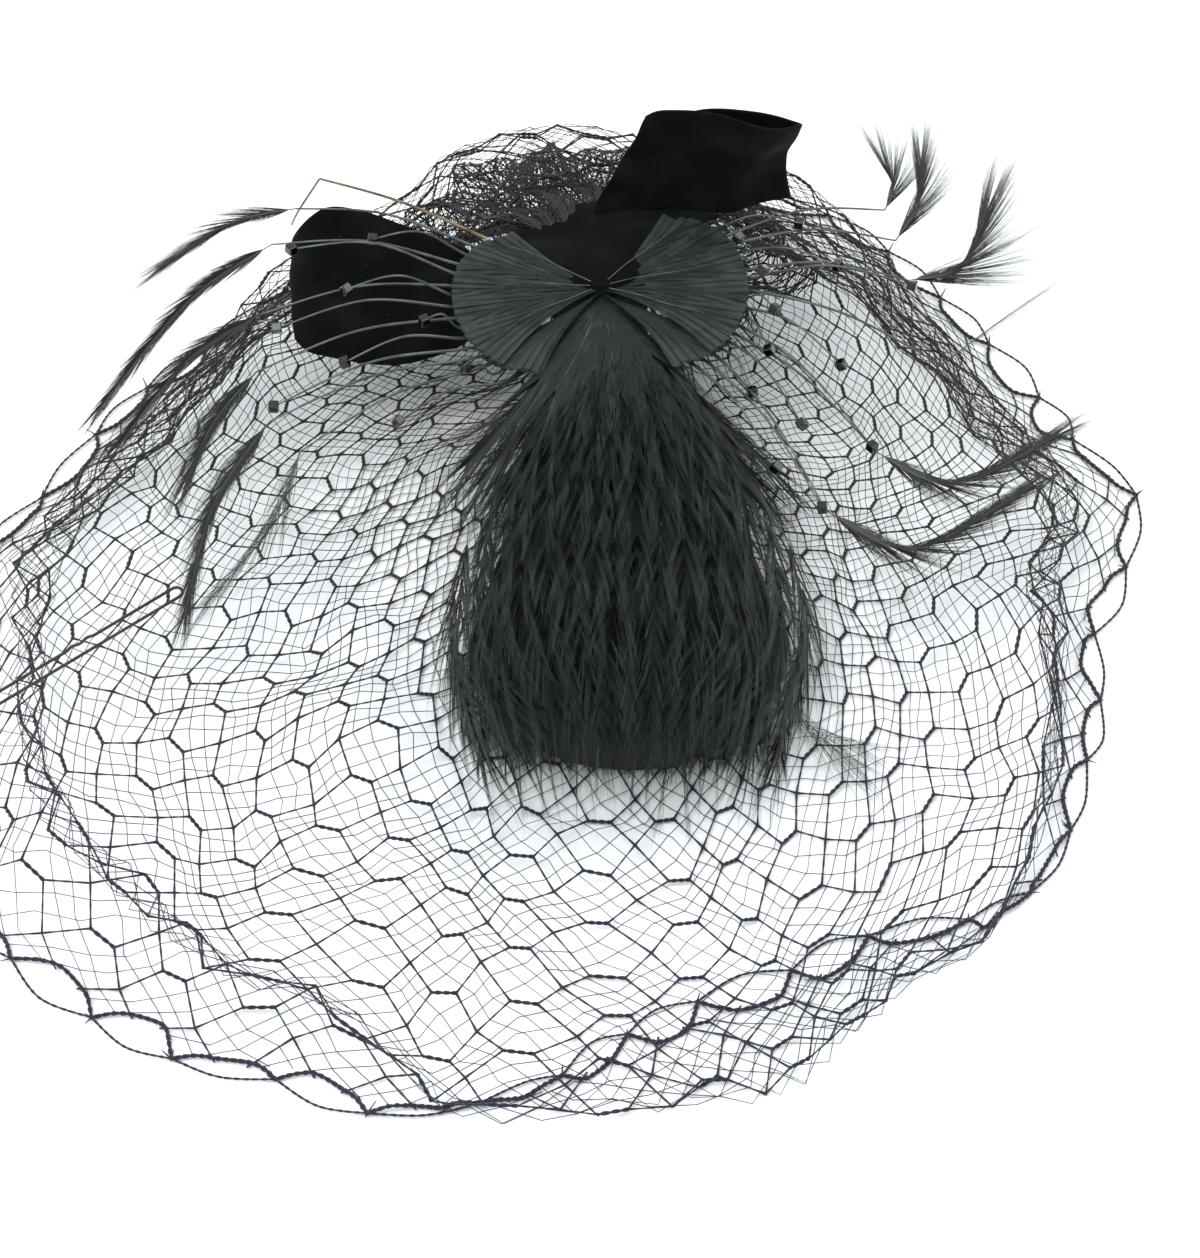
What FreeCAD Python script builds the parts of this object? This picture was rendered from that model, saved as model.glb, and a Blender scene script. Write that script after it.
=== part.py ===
"""Fascinator headpiece: feather pad on a wired buckram base, velvet ribbon bow, two
trimmed feather fans, quill sprays with glass beads and plumes, a birdcage veil and
a loose hairpin.  Millimetres, +Z up, +Y towards the bow, origin on the table plane
under the middle of the spread veil."""
import FreeCAD, Part
import math
import os
import Sketcher
from FreeCAD import Placement, Rotation, Vector

doc = FreeCAD.newDocument("fascinator_headpiece")

# ---------------------------------------------------------------- driving sizes
SIZES = [
    ("veil_radius", 171.5, "outer radius of the spread veil on the table"),
    ("veil_flat_radius", 92.0, "radius inside which the net lies flat under the pad"),
    ("veil_crest_radius", 134.0, "radius of the crest of the puffed net"),
    ("veil_crest_height", 24.0, "height of the crest of the puffed net"),
    ("veil_wall", 1.7, "thickness that stands for the folded net"),
    ("veil_lift", 0.6, "net under the pad, above the table"),
    ("selvage_thickness", 1.6, "bold edge cord of the net"),
    ("gather_radius", 9.0, "half thickness of the gathered net behind the bow"),
    ("gather_ring", 126.0, "radius of the arc that the gathers follow"),
    ("gather_angle", 58.0, "angle that the gathers cover"),
    ("pad_x", 23.0, "centre of the pad's wide end, across"),
    ("pad_y", -18.0, "centre of the pad's wide end, along"),
    ("pad_taper", 80.0, "distance from the wide end's centre to the neck's centre"),
    ("crown_wide", 38.0, "inside radius of the base at its wide end"),
    ("crown_neck", 10.0, "inside radius of the base at its neck"),
    ("crown_height", 30.0, "inside height of the base"),
    ("lining_wall", 0.6, "satin lining"),
    ("base_wall", 1.8, "buckram base"),
    ("wadding_wall", 5.8, "wadding under the feathers"),
    ("feather_wall", 1.0, "one layer of pad feathers"),
    ("layer_gap", 0.15, "clearance between sewn layers"),
    ("feather_gap", 0.3, "clearance between rows of feathers"),
    ("feather_slit", 0.7, "clearance between feathers of one row"),
    ("edge_wire", 1.2, "millinery wire round the base's edge"),
    ("bow_x", 15.0, "point where fans and bow meet, across"),
    ("bow_y", 84.0, "point where fans and bow meet, along"),
    ("tab_width", 28.0, "stiff tab that carries the bow"),
    ("tab_length", 56.0, "length of the tab"),
    ("tab_wall", 1.2, "thickness of the tab"),
    ("fan_radius", 43.0, "radius of the trimmed feather fans"),
    ("fan_spread", 75.0, "angle that a fan covers"),
    ("fan_wall", 1.2, "thickness of a fan feather"),
    ("neck_reach", 52.0, "length of the feathers that cover the pad's neck"),
    ("ribbon_width", 38.0, "velvet ribbon"),
    ("ribbon_wall", 1.2, "velvet ribbon with its backing"),
    ("left_loop_length", 44.0, "distance between the end radii of the left loop"),
    ("left_loop_end", 10.5, "outer radius of the left loop's open end"),
    ("right_loop_length", 26.0, "distance between the end radii of the right loop"),
    ("right_loop_end", 9.0, "outer radius of the right loop's open end"),
    ("swag_radius", 54.0, "curve of the ribbon's centre swag"),
    ("swag_span", 34.0, "width of the ribbon's centre swag"),
    ("loop_root", 3.4, "outer radius of a loop's sewn end"),
    ("quill_thickness", 1.2, "stripped quill"),
    ("bead_size", 3.0, "glass cube bead"),
    ("plume_wall", 0.8, "thickness of a plume's vane"),
    ("pin_length", 66.0, "hairpin, bend to tips"),
    ("pin_width", 4.6, "hairpin, across its bend"),
    ("pin_wire", 0.9, "hairpin wire"),
    ("pin_lift", 4.9, "hairpin's bend above the highest part of the puffed net"),
]

sheet = doc.addObject("Spreadsheet::Sheet", "Sizes")
for row, (alias, number, meaning) in enumerate(SIZES, start=1):
    sheet.set("A%d" % row, meaning)
    sheet.set("B%d" % row, str(number))
    sheet.setAlias("B%d" % row, alias)
doc.recompute()


def size(alias):
    """A driving size, as a number in millimetres or degrees."""
    return float(sheet.get(alias))


nodes = []


def keep(obj, label):
    """Name an object after its sub-part and put it on the list of sub-parts."""
    obj.Label = label
    nodes.append(obj)
    return obj


def keep_shape(label, shape, placement=None):
    """A sub-part whose shape comes from Part's own functions."""
    obj = doc.addObject("Part::Feature", label)
    obj.Shape = shape
    obj.Placement = placement or Placement()
    return keep(obj, label)


# ---------------------------------------------------------------- layers of the pad
LINING_IN = "0"
LINING_OUT = "Sizes.lining_wall"
BASE_IN = LINING_OUT + " + Sizes.layer_gap"
BASE_OUT = BASE_IN + " + Sizes.base_wall"
WADDING_IN = BASE_OUT + " + Sizes.layer_gap"
WADDING_OUT = WADDING_IN + " + Sizes.wadding_wall"
WIRE_CENTRE = BASE_OUT + " + Sizes.layer_gap + Sizes.edge_wire / 2"
NET_TOP = "Sizes.veil_lift + Sizes.veil_wall"
WADDING_FLOOR = NET_TOP + " + Sizes.edge_wire + 6 * Sizes.layer_gap"

base_out = size("lining_wall") + size("layer_gap") + size("base_wall")
wadding_out = base_out + size("layer_gap") + size("wadding_wall")
net_top = size("veil_lift") + size("veil_wall")
feather_floor = net_top + size("edge_wire") + 8 * size("layer_gap")

# Heights of the sections of a dome, as shares of the way from its floor to its top.
DOME_STEPS = (0.0, 0.35, 0.6, 0.8, 0.93, 0.985)

pad_origin = Vector(size("pad_x"), size("pad_y"), 0)
neck_centre = pad_origin + Vector(0, size("pad_taper"), 0)
PAD_PLACE = Placement(pad_origin, Rotation())


def origin_plane(body, role):
    """One of a body's own origin planes."""
    return next(item for item in body.Origin.OriginFeatures if item.Role == role)


def new_sketch(body, name, role="XY_Plane", lift=None):
    """An empty sketch on an origin plane, raised by an expression."""
    sketch = body.newObject("Sketcher::SketchObject", name)
    sketch.AttachmentSupport = [(origin_plane(body, role), "")]
    sketch.MapMode = "FlatFace"
    if lift:
        sketch.setExpression(".AttachmentOffset.Base.z", lift)
    return sketch


def bind(sketch, index, expression):
    """Drive one constraint of a sketch from the spreadsheet."""
    sketch.setExpression("Constraints[%d]" % index, expression)


def teardrop(sketch, wide, neck, apart, guess):
    """Outline round two circles: the wide one on the origin, the other up the Y axis.

    wide, neck and apart are expressions; guess holds their present values."""
    wide_now, neck_now, apart_now = guess
    lean = math.asin((wide_now - neck_now) / apart_now)
    first = sketch.GeometryCount
    up = Vector(0, 0, 1)
    far = Vector(0, apart_now, 0)
    edge = Vector(math.cos(lean), math.sin(lean), 0)
    mirror = Vector(-edge.x, edge.y, 0)
    sketch.addGeometry(Part.ArcOfCircle(Part.Circle(Vector(), up, wide_now),
                                        math.pi - lean, 2 * math.pi + lean), False)
    sketch.addGeometry(Part.LineSegment(edge * wide_now, far + edge * neck_now), False)
    sketch.addGeometry(Part.ArcOfCircle(Part.Circle(far, up, neck_now),
                                        lean, math.pi - lean), False)
    sketch.addGeometry(Part.LineSegment(far + mirror * neck_now, mirror * wide_now), False)
    for here, there in ((0, 1), (1, 2), (2, 3), (3, 0)):
        sketch.addConstraint(Sketcher.Constraint("Tangent", first + here, 2, first + there, 1))
    sketch.addConstraint(Sketcher.Constraint("Coincident", first, 3, -1, 1))
    sketch.addConstraint(Sketcher.Constraint("PointOnObject", first + 2, 3, -2))
    for maker, expression in (
            (Sketcher.Constraint("DistanceY", -1, 1, first + 2, 3, apart_now), apart),
            (Sketcher.Constraint("Radius", first, wide_now), wide),
            (Sketcher.Constraint("Radius", first + 2, neck_now), neck)):
        bind(sketch, sketch.addConstraint(maker), expression)


def evaluate(expression):
    """The present value of a spreadsheet expression."""
    return float(sheet.evalExpression(expression))


def dome_sections(body, name, offset, floor):
    """Sketches of a teardrop dome, from its floor to its top, offset outwards."""
    sections = []
    for count, share in enumerate(DOME_STEPS):
        top = "(Sizes.crown_height + %s)" % offset
        height = "(%s) + (%s - (%s)) * %g" % (floor, top, floor, share)
        shrink = "sqrt(1 - pow((%s) / %s; 2))" % (height, top)
        wide = "(Sizes.crown_wide + %s) * %s" % (offset, shrink)
        neck = "(Sizes.crown_neck + %s) * %s" % (offset, shrink)
        sketch = new_sketch(body, "%s_%d" % (name, count), lift=height)
        guess = [evaluate(item) for item in (wide, neck, "Sizes.pad_taper")]
        teardrop(sketch, wide, neck, "Sizes.pad_taper", guess)
        sections.append(sketch)
    return sections


def dome_shell(label, inner, outer, floor):
    """A teardrop dome, open below, between two offsets from the lining's inside."""
    body = doc.addObject("PartDesign::Body", label)
    body.Placement = PAD_PLACE
    for kind, offset in (("AdditiveLoft", outer), ("SubtractiveLoft", inner)):
        sections = dome_sections(body, label + "_" + kind, offset, floor)
        doc.recompute()
        loft = body.newObject("PartDesign::" + kind, label + "_" + kind.lower())
        loft.Profile = sections[0]
        loft.Sections = sections[1:]
        loft.Ruled = False
        doc.recompute()
    return keep(body, label)


dome_shell("base_lining", LINING_IN, LINING_OUT, "Sizes.veil_lift")
dome_shell("foundation_base", BASE_IN, BASE_OUT, "0")
dome_shell("pad_wadding", WADDING_IN, WADDING_OUT, WADDING_FLOOR)


def edge_wire():
    """Wire sewn round the outside of the base, above the net."""
    body = doc.addObject("PartDesign::Body", "base_edge_wire")
    body.Placement = PAD_PLACE
    height = NET_TOP + " + 2 * Sizes.layer_gap + Sizes.edge_wire / 2"
    wide = "Sizes.crown_wide + " + WIRE_CENTRE
    neck = "Sizes.crown_neck + " + WIRE_CENTRE
    path = new_sketch(body, "edge_wire_path", lift=height)
    guess = [evaluate(item) for item in (wide, neck, "Sizes.pad_taper")]
    teardrop(path, wide, neck, "Sizes.pad_taper", guess)
    profile = new_sketch(body, "edge_wire_section", "XZ_Plane")
    middle = Vector(guess[0], evaluate(height), 0)
    profile.addGeometry(Part.Circle(middle, Vector(0, 0, 1), size("edge_wire") / 2), False)
    for kind, expression in (("DistanceX", wide), ("DistanceY", height)):
        value = middle.x if kind == "DistanceX" else middle.y
        rule = Sketcher.Constraint(kind, -1, 1, 0, 3, value)
        bind(profile, profile.addConstraint(rule), expression)
    rule = Sketcher.Constraint("Diameter", 0, size("edge_wire"))
    bind(profile, profile.addConstraint(rule), "Sizes.edge_wire")
    doc.recompute()
    pipe = body.newObject("PartDesign::AdditivePipe", "edge_wire_pipe")
    pipe.Profile = profile
    pipe.Spine = (path, ["Edge1", "Edge2", "Edge3", "Edge4"])
    doc.recompute()
    return keep(body, "base_edge_wire")


edge_wire()


# ---------------------------------------------------------------- feathers of the pad
def teardrop_wire(offset, height):
    """The outline of a dome of this offset, at one height, as a wire."""
    top = size("crown_height") + offset
    shrink = math.sqrt(1 - (height / top) ** 2)
    wide = (size("crown_wide") + offset) * shrink
    neck = (size("crown_neck") + offset) * shrink
    lean = math.asin((wide - neck) / size("pad_taper"))
    near = pad_origin + Vector(0, 0, height)
    far = neck_centre + Vector(0, 0, height)
    right = Vector(math.cos(lean), math.sin(lean), 0)
    left = Vector(-right.x, right.y, 0)
    front = Part.Arc(near + left * wide, near - Vector(0, wide, 0), near + right * wide)
    back = Part.Arc(far + right * neck, far + Vector(0, neck, 0), far + left * neck)
    return Part.Wire([front.toShape(),
                      Part.LineSegment(near + right * wide, far + right * neck).toShape(),
                      back.toShape(),
                      Part.LineSegment(far + left * neck, near + left * wide).toShape()])


def dome_solid(offset, floor):
    """A solid teardrop dome of one offset, from a floor up."""
    span = size("crown_height") + offset - floor
    return Part.makeLoft([teardrop_wire(offset, floor + span * share) for share in DOME_STEPS],
                         True, False)


def on_circle(centre, radius, angle):
    """The point at an angle, in degrees, on a level circle."""
    turn = math.radians(angle)
    return centre + Vector(radius * math.cos(turn), radius * math.sin(turn), 0)


def blade(centre, inner, outer, start, end, droop, thickness):
    """A flat feather: a sector of a ring whose outer end is rounded by droop."""
    middle = (start + end) / 2
    corner = outer - droop
    points = [on_circle(centre, inner, start), on_circle(centre, corner, start),
              on_circle(centre, corner, end), on_circle(centre, inner, end)]
    outline = Part.Wire([
        Part.LineSegment(points[0], points[1]).toShape(),
        Part.Arc(points[1], on_circle(centre, outer, middle), points[2]).toShape(),
        Part.LineSegment(points[2], points[3]).toShape(),
        Part.Arc(points[3], on_circle(centre, inner, middle), points[0]).toShape()])
    return Part.Face(outline).extrude(Vector(0, 0, thickness))


def blades(centre, inner, outer, start, end, count, slit, droop, thickness):
    """Feathers side by side, slit apart by one clearance at their outer ends."""
    step = (end - start) / count
    gap = math.degrees(slit / outer) / 2
    return [blade(centre, inner, outer, start + step * turn + gap,
                  start + step * (turn + 1) - gap, droop, thickness)
            for turn in range(count)]


# Rows of pad feathers from the front edge to the neck: how far their tips lie from the
# neck's centre, as a share of the pad's length, half the angle they cover, and how many.
PAD_ROWS = ((1.04, 31, 9), (0.91, 35, 9), (0.78, 40, 9), (0.65, 46, 9), (0.51, 52, 7), (0.37, 58, 5))
ROW_COVER = 0.33
TIP_DROOP = 5.0
CRUMB = 6.0


def feather_row(number, tip_share, half_angle, count):
    """One row of overlapping feathers, cut out of its own layer of the dome."""
    inside = wadding_out + size("layer_gap") + number * (size("feather_wall") + size("feather_gap"))
    outside = inside + size("feather_wall")
    layer = dome_solid(outside, feather_floor).cut(dome_solid(inside, feather_floor))
    length = size("pad_taper") + size("crown_wide") + outside
    tip = length * tip_share
    root = tip - length * ROW_COVER
    prisms = blades(neck_centre, root, tip, 270 - half_angle, 270 + half_angle, count,
                    size("feather_slit"), TIP_DROOP, 2 * size("crown_height"))
    cut = layer.common(Part.makeCompound(prisms))
    solids = [piece for piece in cut.Solids if piece.Volume > CRUMB]
    return keep_shape("feather_row_%d" % (number + 1), Part.makeCompound(solids))


for number, (tip_share, half_angle, count) in enumerate(PAD_ROWS):
    feather_row(number, tip_share, half_angle, count)

pad_top = (size("crown_height") + wadding_out + size("layer_gap")
           + len(PAD_ROWS) * (size("feather_wall") + size("feather_gap")))


# ---------------------------------------------------------------- section of the net
# Outer and inner line of the puffed net: inner edge, crest and rim.
NET_RIM_SLOPE = 1.4
net_wall = size("veil_wall")
net_over = [Vector(size("veil_flat_radius"), net_top, 0),
            Vector(size("veil_crest_radius"), size("veil_crest_height"), 0),
            Vector(size("veil_radius"), 0, 0)]
net_under = [Vector(size("veil_flat_radius") + net_wall, size("veil_lift"), 0),
             Vector(size("veil_crest_radius"), size("veil_crest_height") - net_wall, 0),
             Vector(size("veil_radius") - NET_RIM_SLOPE * net_wall, 0, 0)]
net_curve = Part.Arc(*net_over).toShape().Curve
net_peak = net_curve.Center.y + net_curve.Radius
# The gathered roll touches the net's round back, wherever its ring stands on it.
gather_reach = net_curve.Radius + size("gather_radius") + size("layer_gap")
gather_aside = size("gather_ring") - net_curve.Center.x
gather_height = net_curve.Center.y + math.sqrt(gather_reach ** 2 - gather_aside ** 2)


# ---------------------------------------------------------------- bow tab and fans
tab_floor = pad_top + size("feather_gap")
tab_top = tab_floor + size("tab_wall")
neck_floor = tab_top + size("feather_gap")
root_floor = neck_floor + size("fan_wall") + size("feather_gap")
fan_floor = root_floor + size("quill_thickness") + size("feather_gap")
bow_point = Vector(size("bow_x"), size("bow_y"), 0)
# The ribbon rests on the tab and clears the gathered net behind it.
BOW_OVER_GATHERS = 4.5
bow_floor = max(tab_floor, gather_height + size("gather_radius") + BOW_OVER_GATHERS)
ROOT_START = 8.0
TAB_BEHIND_BOW = 0.2
NECK_START = 240.0
NECK_END = 312.0
NECK_FEATHERS = 7
NECK_SHIFT = 4.0
NECK_DROOP = 6.0
FAN_DROOP = 1.5
FAN_FEATHERS = 6
LEFT_FAN_START = 163.0
RIGHT_FAN_START = -50.0
ROOT_CLEAR = 1.2
BEAD_SEAT = 0.1


def bow_tab():
    """Stiff tab on top of the pad's neck, under the fans and the bow."""
    box = doc.addObject("Part::Box", "bow_tab")
    box.setExpression("Length", "Sizes.tab_width")
    box.setExpression("Width", "Sizes.tab_length")
    box.setExpression("Height", "Sizes.tab_wall")
    corner = Vector(size("bow_x") - size("tab_width") / 2,
                    size("bow_y") - (1 - TAB_BEHIND_BOW) * size("tab_length"), tab_floor)
    box.Placement = Placement(corner, Rotation())
    return keep(box, "bow_tab")


def fan(label, start):
    """A trimmed fan of flat feathers round the bow's point."""
    centre = bow_point + Vector(0, 0, fan_floor)
    feathers = blades(centre, ROOT_START, size("fan_radius"), start,
                      start + size("fan_spread"), FAN_FEATHERS, size("feather_slit"), FAN_DROOP,
                      size("fan_wall"))
    return keep_shape(label, Part.makeCompound(feathers))


def quill_root(label, start):
    """The bound ends of the quills, flat under a fan."""
    centre = bow_point + Vector(0, 0, root_floor)
    wedge = blade(centre, ROOT_START, size("fan_radius") - 1, start, start + size("fan_spread"),
                  1.0, size("quill_thickness"))
    return keep_shape(label, wedge)


def neck_feathers():
    """Narrow feathers from the bow's point down over the pad's neck."""
    centre = bow_point + Vector(NECK_SHIFT, 0, neck_floor)
    leaves = blades(centre, ROOT_START, size("neck_reach"), NECK_START, NECK_END,
                    NECK_FEATHERS, size("feather_slit"), NECK_DROOP, size("fan_wall"))
    return keep_shape("neck_feathers", Part.makeCompound(leaves))


def fan_binding():
    """Thread wrapped round the bow's point, above the tab."""
    tube = doc.addObject("Part::Cylinder", "fan_binding")
    tube.Radius = ROOT_START - 2
    tube.Height = fan_floor + size("fan_wall") - tab_top - 2 * size("layer_gap")
    tube.Placement = Placement(bow_point + Vector(0, 0, tab_top + size("layer_gap")), Rotation())
    return keep(tube, "fan_binding")


bow_tab()
fan("left_fan", LEFT_FAN_START)
fan("right_fan", RIGHT_FAN_START)
quill_root("left_quill_binding", LEFT_FAN_START)
quill_root("right_quill_binding", RIGHT_FAN_START)
neck_feathers()
fan_binding()


# ---------------------------------------------------------------- velvet ribbon bow
def ribbon_loop(label, length, end_radius, placement):
    """A loop of ribbon: a teardrop band as wide as the ribbon, open right through."""
    body = doc.addObject("PartDesign::Body", label)
    body.Placement = placement
    band = new_sketch(body, label + "_band")
    for inset in ("0", "Sizes.ribbon_wall"):
        wide = "Sizes.%s - %s" % (end_radius, inset)
        neck = "Sizes.loop_root - %s" % inset
        apart = "Sizes." + length
        guess = [evaluate(item) for item in (wide, neck, apart)]
        teardrop(band, wide, neck, apart, guess)
    doc.recompute()
    pad = body.newObject("PartDesign::Pad", label + "_pad")
    pad.Profile = band
    pad.setExpression("Length", "Sizes.ribbon_width")
    doc.recompute()
    return keep(body, label)


FAN_OVER_LOOP = 5.0
LOOP_BEHIND_BOW = 24.0
LOOP_OVER_NET = 3.4
RIGHT_LOOP_LEAN = 16.0
RIGHT_LOOP_FOOT = 12.0
RIGHT_LOOP_RIGHT = 2.0
RIGHT_LOOP_BEHIND = 32.0
SWAG_BEHIND = 12.0
SWAG_WIDTH = 0.5


def left_loop():
    """The loop that lies to the left, its open end outwards, its width along Y."""
    end = size("left_loop_end")
    level = max(root_floor - size("quill_thickness") - end, net_peak + LOOP_OVER_NET + end)
    middle = Vector(size("bow_x") - size("fan_radius") + FAN_OVER_LOOP - size("left_loop_length"),
                    size("bow_y") + LOOP_BEHIND_BOW - size("ribbon_width"), level)
    turn = Rotation(Vector(0, 0, 1), Vector(1, 0, 0), Vector(0, 1, 0), "XYZ")
    ribbon_loop("ribbon_left_loop", "left_loop_length", "left_loop_end", Placement(middle, turn))


def right_loop():
    """The loop that stands behind the right fan and leans to the right."""
    lean = math.radians(RIGHT_LOOP_LEAN)
    down = Vector(-math.sin(lean), 0, -math.cos(lean))
    across = Vector(math.cos(lean), 0, -math.sin(lean))
    foot = Vector(size("bow_x") + RIGHT_LOOP_RIGHT, size("bow_y") + RIGHT_LOOP_BEHIND,
                  bow_floor + size("tab_wall") + RIGHT_LOOP_FOOT)
    turn = Rotation(Vector(0, -1, 0), down, across, "ZYX")
    top = foot - down * size("right_loop_length")
    ribbon_loop("ribbon_right_loop", "right_loop_length", "right_loop_end", Placement(top, turn))


def centre_swag():
    """The low arch of ribbon behind the fans, between the two loops."""
    rise = bow_floor - size("feather_gap") - size("ribbon_wall")
    turn = Rotation(Vector(1, 0, 0), Vector(0, 0, 1), Vector(0, -1, 0), "XYZ")
    body = doc.addObject("PartDesign::Body", "ribbon_centre_swag")
    body.Placement = Placement(Vector(size("bow_x"), size("bow_y") + SWAG_BEHIND, rise), turn)
    sketch = new_sketch(body, "swag_section")
    radius = size("swag_radius")
    half = math.asin(0.5 * size("swag_span") / radius)
    centre = Vector(0, -radius, 0)
    ends = (math.pi / 2 - half, math.pi / 2 + half)
    radii = (radius, radius + size("ribbon_wall"))
    for reach in radii:
        sketch.addGeometry(Part.ArcOfCircle(Part.Circle(centre, Vector(0, 0, 1), reach), *ends),
                           False)
    for angle in ends:
        ray = Vector(math.cos(angle), math.sin(angle), 0)
        line = Part.LineSegment(centre + ray * radii[0], centre + ray * radii[1])
        sketch.addGeometry(line, False)
    for line, tip in ((2, 1), (3, 2)):
        sketch.addConstraint(Sketcher.Constraint("Coincident", line, 1, 0, tip))
        sketch.addConstraint(Sketcher.Constraint("Coincident", line, 2, 1, tip))
    sketch.addConstraint(Sketcher.Constraint("Coincident", 0, 3, 1, 3))
    sketch.addConstraint(Sketcher.Constraint("PointOnObject", 0, 3, -2))
    outer = "Sizes.swag_radius + Sizes.ribbon_wall"
    for rule, expression in (
            (Sketcher.Constraint("DistanceY", 0, 3, -1, 1, radius), "Sizes.swag_radius"),
            (Sketcher.Constraint("Radius", 0, radius), "Sizes.swag_radius"),
            (Sketcher.Constraint("Radius", 1, radii[1]), outer)):
        bind(sketch, sketch.addConstraint(rule), expression)
    doc.recompute()
    pad = body.newObject("PartDesign::Pad", "swag_pad")
    pad.Profile = sketch
    pad.setExpression("Length", "Sizes.ribbon_width * %s" % SWAG_WIDTH)
    pad.Reversed = True
    doc.recompute()
    keep(body, "ribbon_centre_swag")


left_loop()
right_loop()
centre_swag()


# ---------------------------------------------------------------- rods, beads and plumes
def swept(edges, radius):
    """A round rod along a chain of edges."""
    path = Part.Wire(edges)
    start = edges[0].valueAt(edges[0].FirstParameter)
    along = edges[0].tangentAt(edges[0].FirstParameter)
    ring = Part.Wire([Part.Circle(start, along, radius).toShape()])
    return path.makePipeShell([ring], True, True)


def arched(start, end, rise):
    """A single arc between two points whose middle is lifted by rise."""
    return Part.Arc(start, (start + end) / 2 + Vector(0, 0, rise), end).toShape()


def bead_on(tip, along, label):
    """A cube bead seated on the end of a quill."""
    bead = doc.addObject("Part::Box", label)
    for side in ("Length", "Width", "Height"):
        bead.setExpression(side, "Sizes.bead_size")
    half = size("bead_size") / 2
    turn = Rotation(Vector(1, 0, 0), along)
    centre = tip + along * (half + BEAD_SEAT)
    bead.Placement = Placement(centre - turn.multVec(Vector(half, half, half)), turn)
    return bead


# Height that the trimmings' places are given from, just over the quills' roots.
TRIM_OVER_ROOTS = 0.25
trim_origin = bow_point + Vector(0, 0, root_floor + TRIM_OVER_ROOTS)


def trim(place):
    """A place given from the bow's point, in the model's own axes."""
    return trim_origin + Vector(*place)


def spray(side, start, beads, rises):
    """Quills that fan out from under a feather fan, each with a bead on its end."""
    rods = []
    cubes = []
    centre = bow_point + Vector(0, 0, root_floor + size("quill_thickness") / 2)
    step = size("fan_spread") / len(beads)
    for count, (tip, rise) in enumerate(zip(beads, rises)):
        foot = on_circle(centre, size("fan_radius") + ROOT_CLEAR, start + step * (count + 0.5))
        end = trim(tip)
        edge = arched(foot, end, rise)
        rods.append(swept([edge], size("quill_thickness") / 2))
        along = edge.tangentAt(edge.LastParameter)
        cubes.append(bead_on(end, along, "%s_bead_%d" % (side, count + 1)))
    keep_shape(side + "_quills", Part.makeCompound(rods))
    group = doc.addObject("Part::Compound", side + "_beads")
    group.Links = cubes
    keep(group, side + "_beads")


# Where each bead sits from the bow's point, in order of the quills' angle round it.
LEFT_BEADS = ((-67, 4, 13), (-91, 2, 11), (-74, -14, 10), (-94, -24, 4), (-74, -34, 0),
              (-94, -48, -4), (-51, -24, 7), (-58, -52, -6), (-39, -36, 0))
LEFT_RISES = (9, 11, 10, 10, 8, 9, 6, 7, 5)
RIGHT_BEADS = ((44, -44, -2), (50, -70, -6), (63, -80, -12), (58, -54, -5), (78, -60, -8),
               (49, -32, 3), (70, -34, -1), (51, -18, 6), (92, -6, 4), (48, -4, 8),
               (70, -2, 8), (59, 12, 12), (41, 8, 10))
RIGHT_RISES = (5, 7, 9, 7, 9, 5, 8, 5, 10, 4, 7, 7, 5)
spray("left", LEFT_FAN_START, LEFT_BEADS, LEFT_RISES)
spray("right", RIGHT_FAN_START, RIGHT_BEADS, RIGHT_RISES)


KINK_RISE = 3.0
KINK_GAP = 1.5


def kinked_quill():
    """The quill that is broken over near its end."""
    foot = trim((-37, 17, 12))
    corner = trim((-84, 21, 21))
    end = trim((-91, 8, 15))
    thick = size("quill_thickness") / 2
    over = (end - corner).normalize()
    first = swept([arched(foot, corner, KINK_RISE)], thick)
    second = swept([Part.LineSegment(corner + over * KINK_GAP, end).toShape()], thick)
    keep_shape("left_kinked_quill", Part.makeCompound([first, second]))


kinked_quill()


def crescent(base, middle, tip, width):
    """A narrow curved feather vane, flat in the plane of its three points."""
    chord = tip - base
    normal = chord.cross(middle - base).normalize()
    side = normal.cross(chord).normalize()
    near = Part.Arc(base, middle + side * (width / 2), tip)
    far = Part.Arc(tip, middle - side * (width / 2), base)
    face = Part.Face(Part.Wire([near.toShape(), far.toShape()]))
    return face.extrude(normal * size("plume_wall"))


# Base, middle and tip of each plume's spine, and the width of its vane.
PLUMES = {
    "left_plume_1": ((-97, 5, 10), (-120, -14, 6), (-146, -44, -10), 5),
    "left_plume_2": ((-99, -16, 2), (-119, -32, 0), (-139, -56, -12), 5),
    "left_plume_3": ((-100, -40, -4), (-111, -52, -6), (-118, -70, -10), 8),
    "left_plume_4": ((-97, -56, -6), (-110, -82, -9), (-116, -116, -14), 7),
    "left_plume_5": ((-87, -62, -10), (-94, -87, -14), (-107, -110, -16), 9),
    "left_plume_6": ((-92, 12, 16), (-109, 10, 14), (-129, -2, 9), 8),
    "right_plume_1": ((89, 32, 12), (87, 25, 11), (82, 19, 7), 6),
    "right_plume_2": ((98, 40, 10), (96, 24, 9), (88, 11, 4), 5),
    "right_plume_3": ((95, -5, 2), (107, 2, 5), (114, 20, 9), 9),
    "right_plume_4": ((129, -5, -3), (117, -13, -4), (100, -26, -8), 3),
    "right_plume_5": ((82, -64, -10), (101, -69, -12), (131, -50, -13), 9),
    "right_plume_6": ((67, -84, -13), (87, -91, -15), (121, -70, -14), 8),
    "stray_feather": ((-23, -44, -2), (-31, -49, -3), (-42, -57, -7), 6),
}
for label, (base, middle, tip, width) in PLUMES.items():
    keep_shape(label, crescent(trim(base), trim(middle), trim(tip), width))


# ---------------------------------------------------------------- stitches
STITCH = 0.3
STITCH_REACH = 1.2
STITCH_LIFT = 0.4
TACKS = 9
TACK_START = 190.0
TACK_STEP = 20.0
STITCH_SPACING = 4.0


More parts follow.
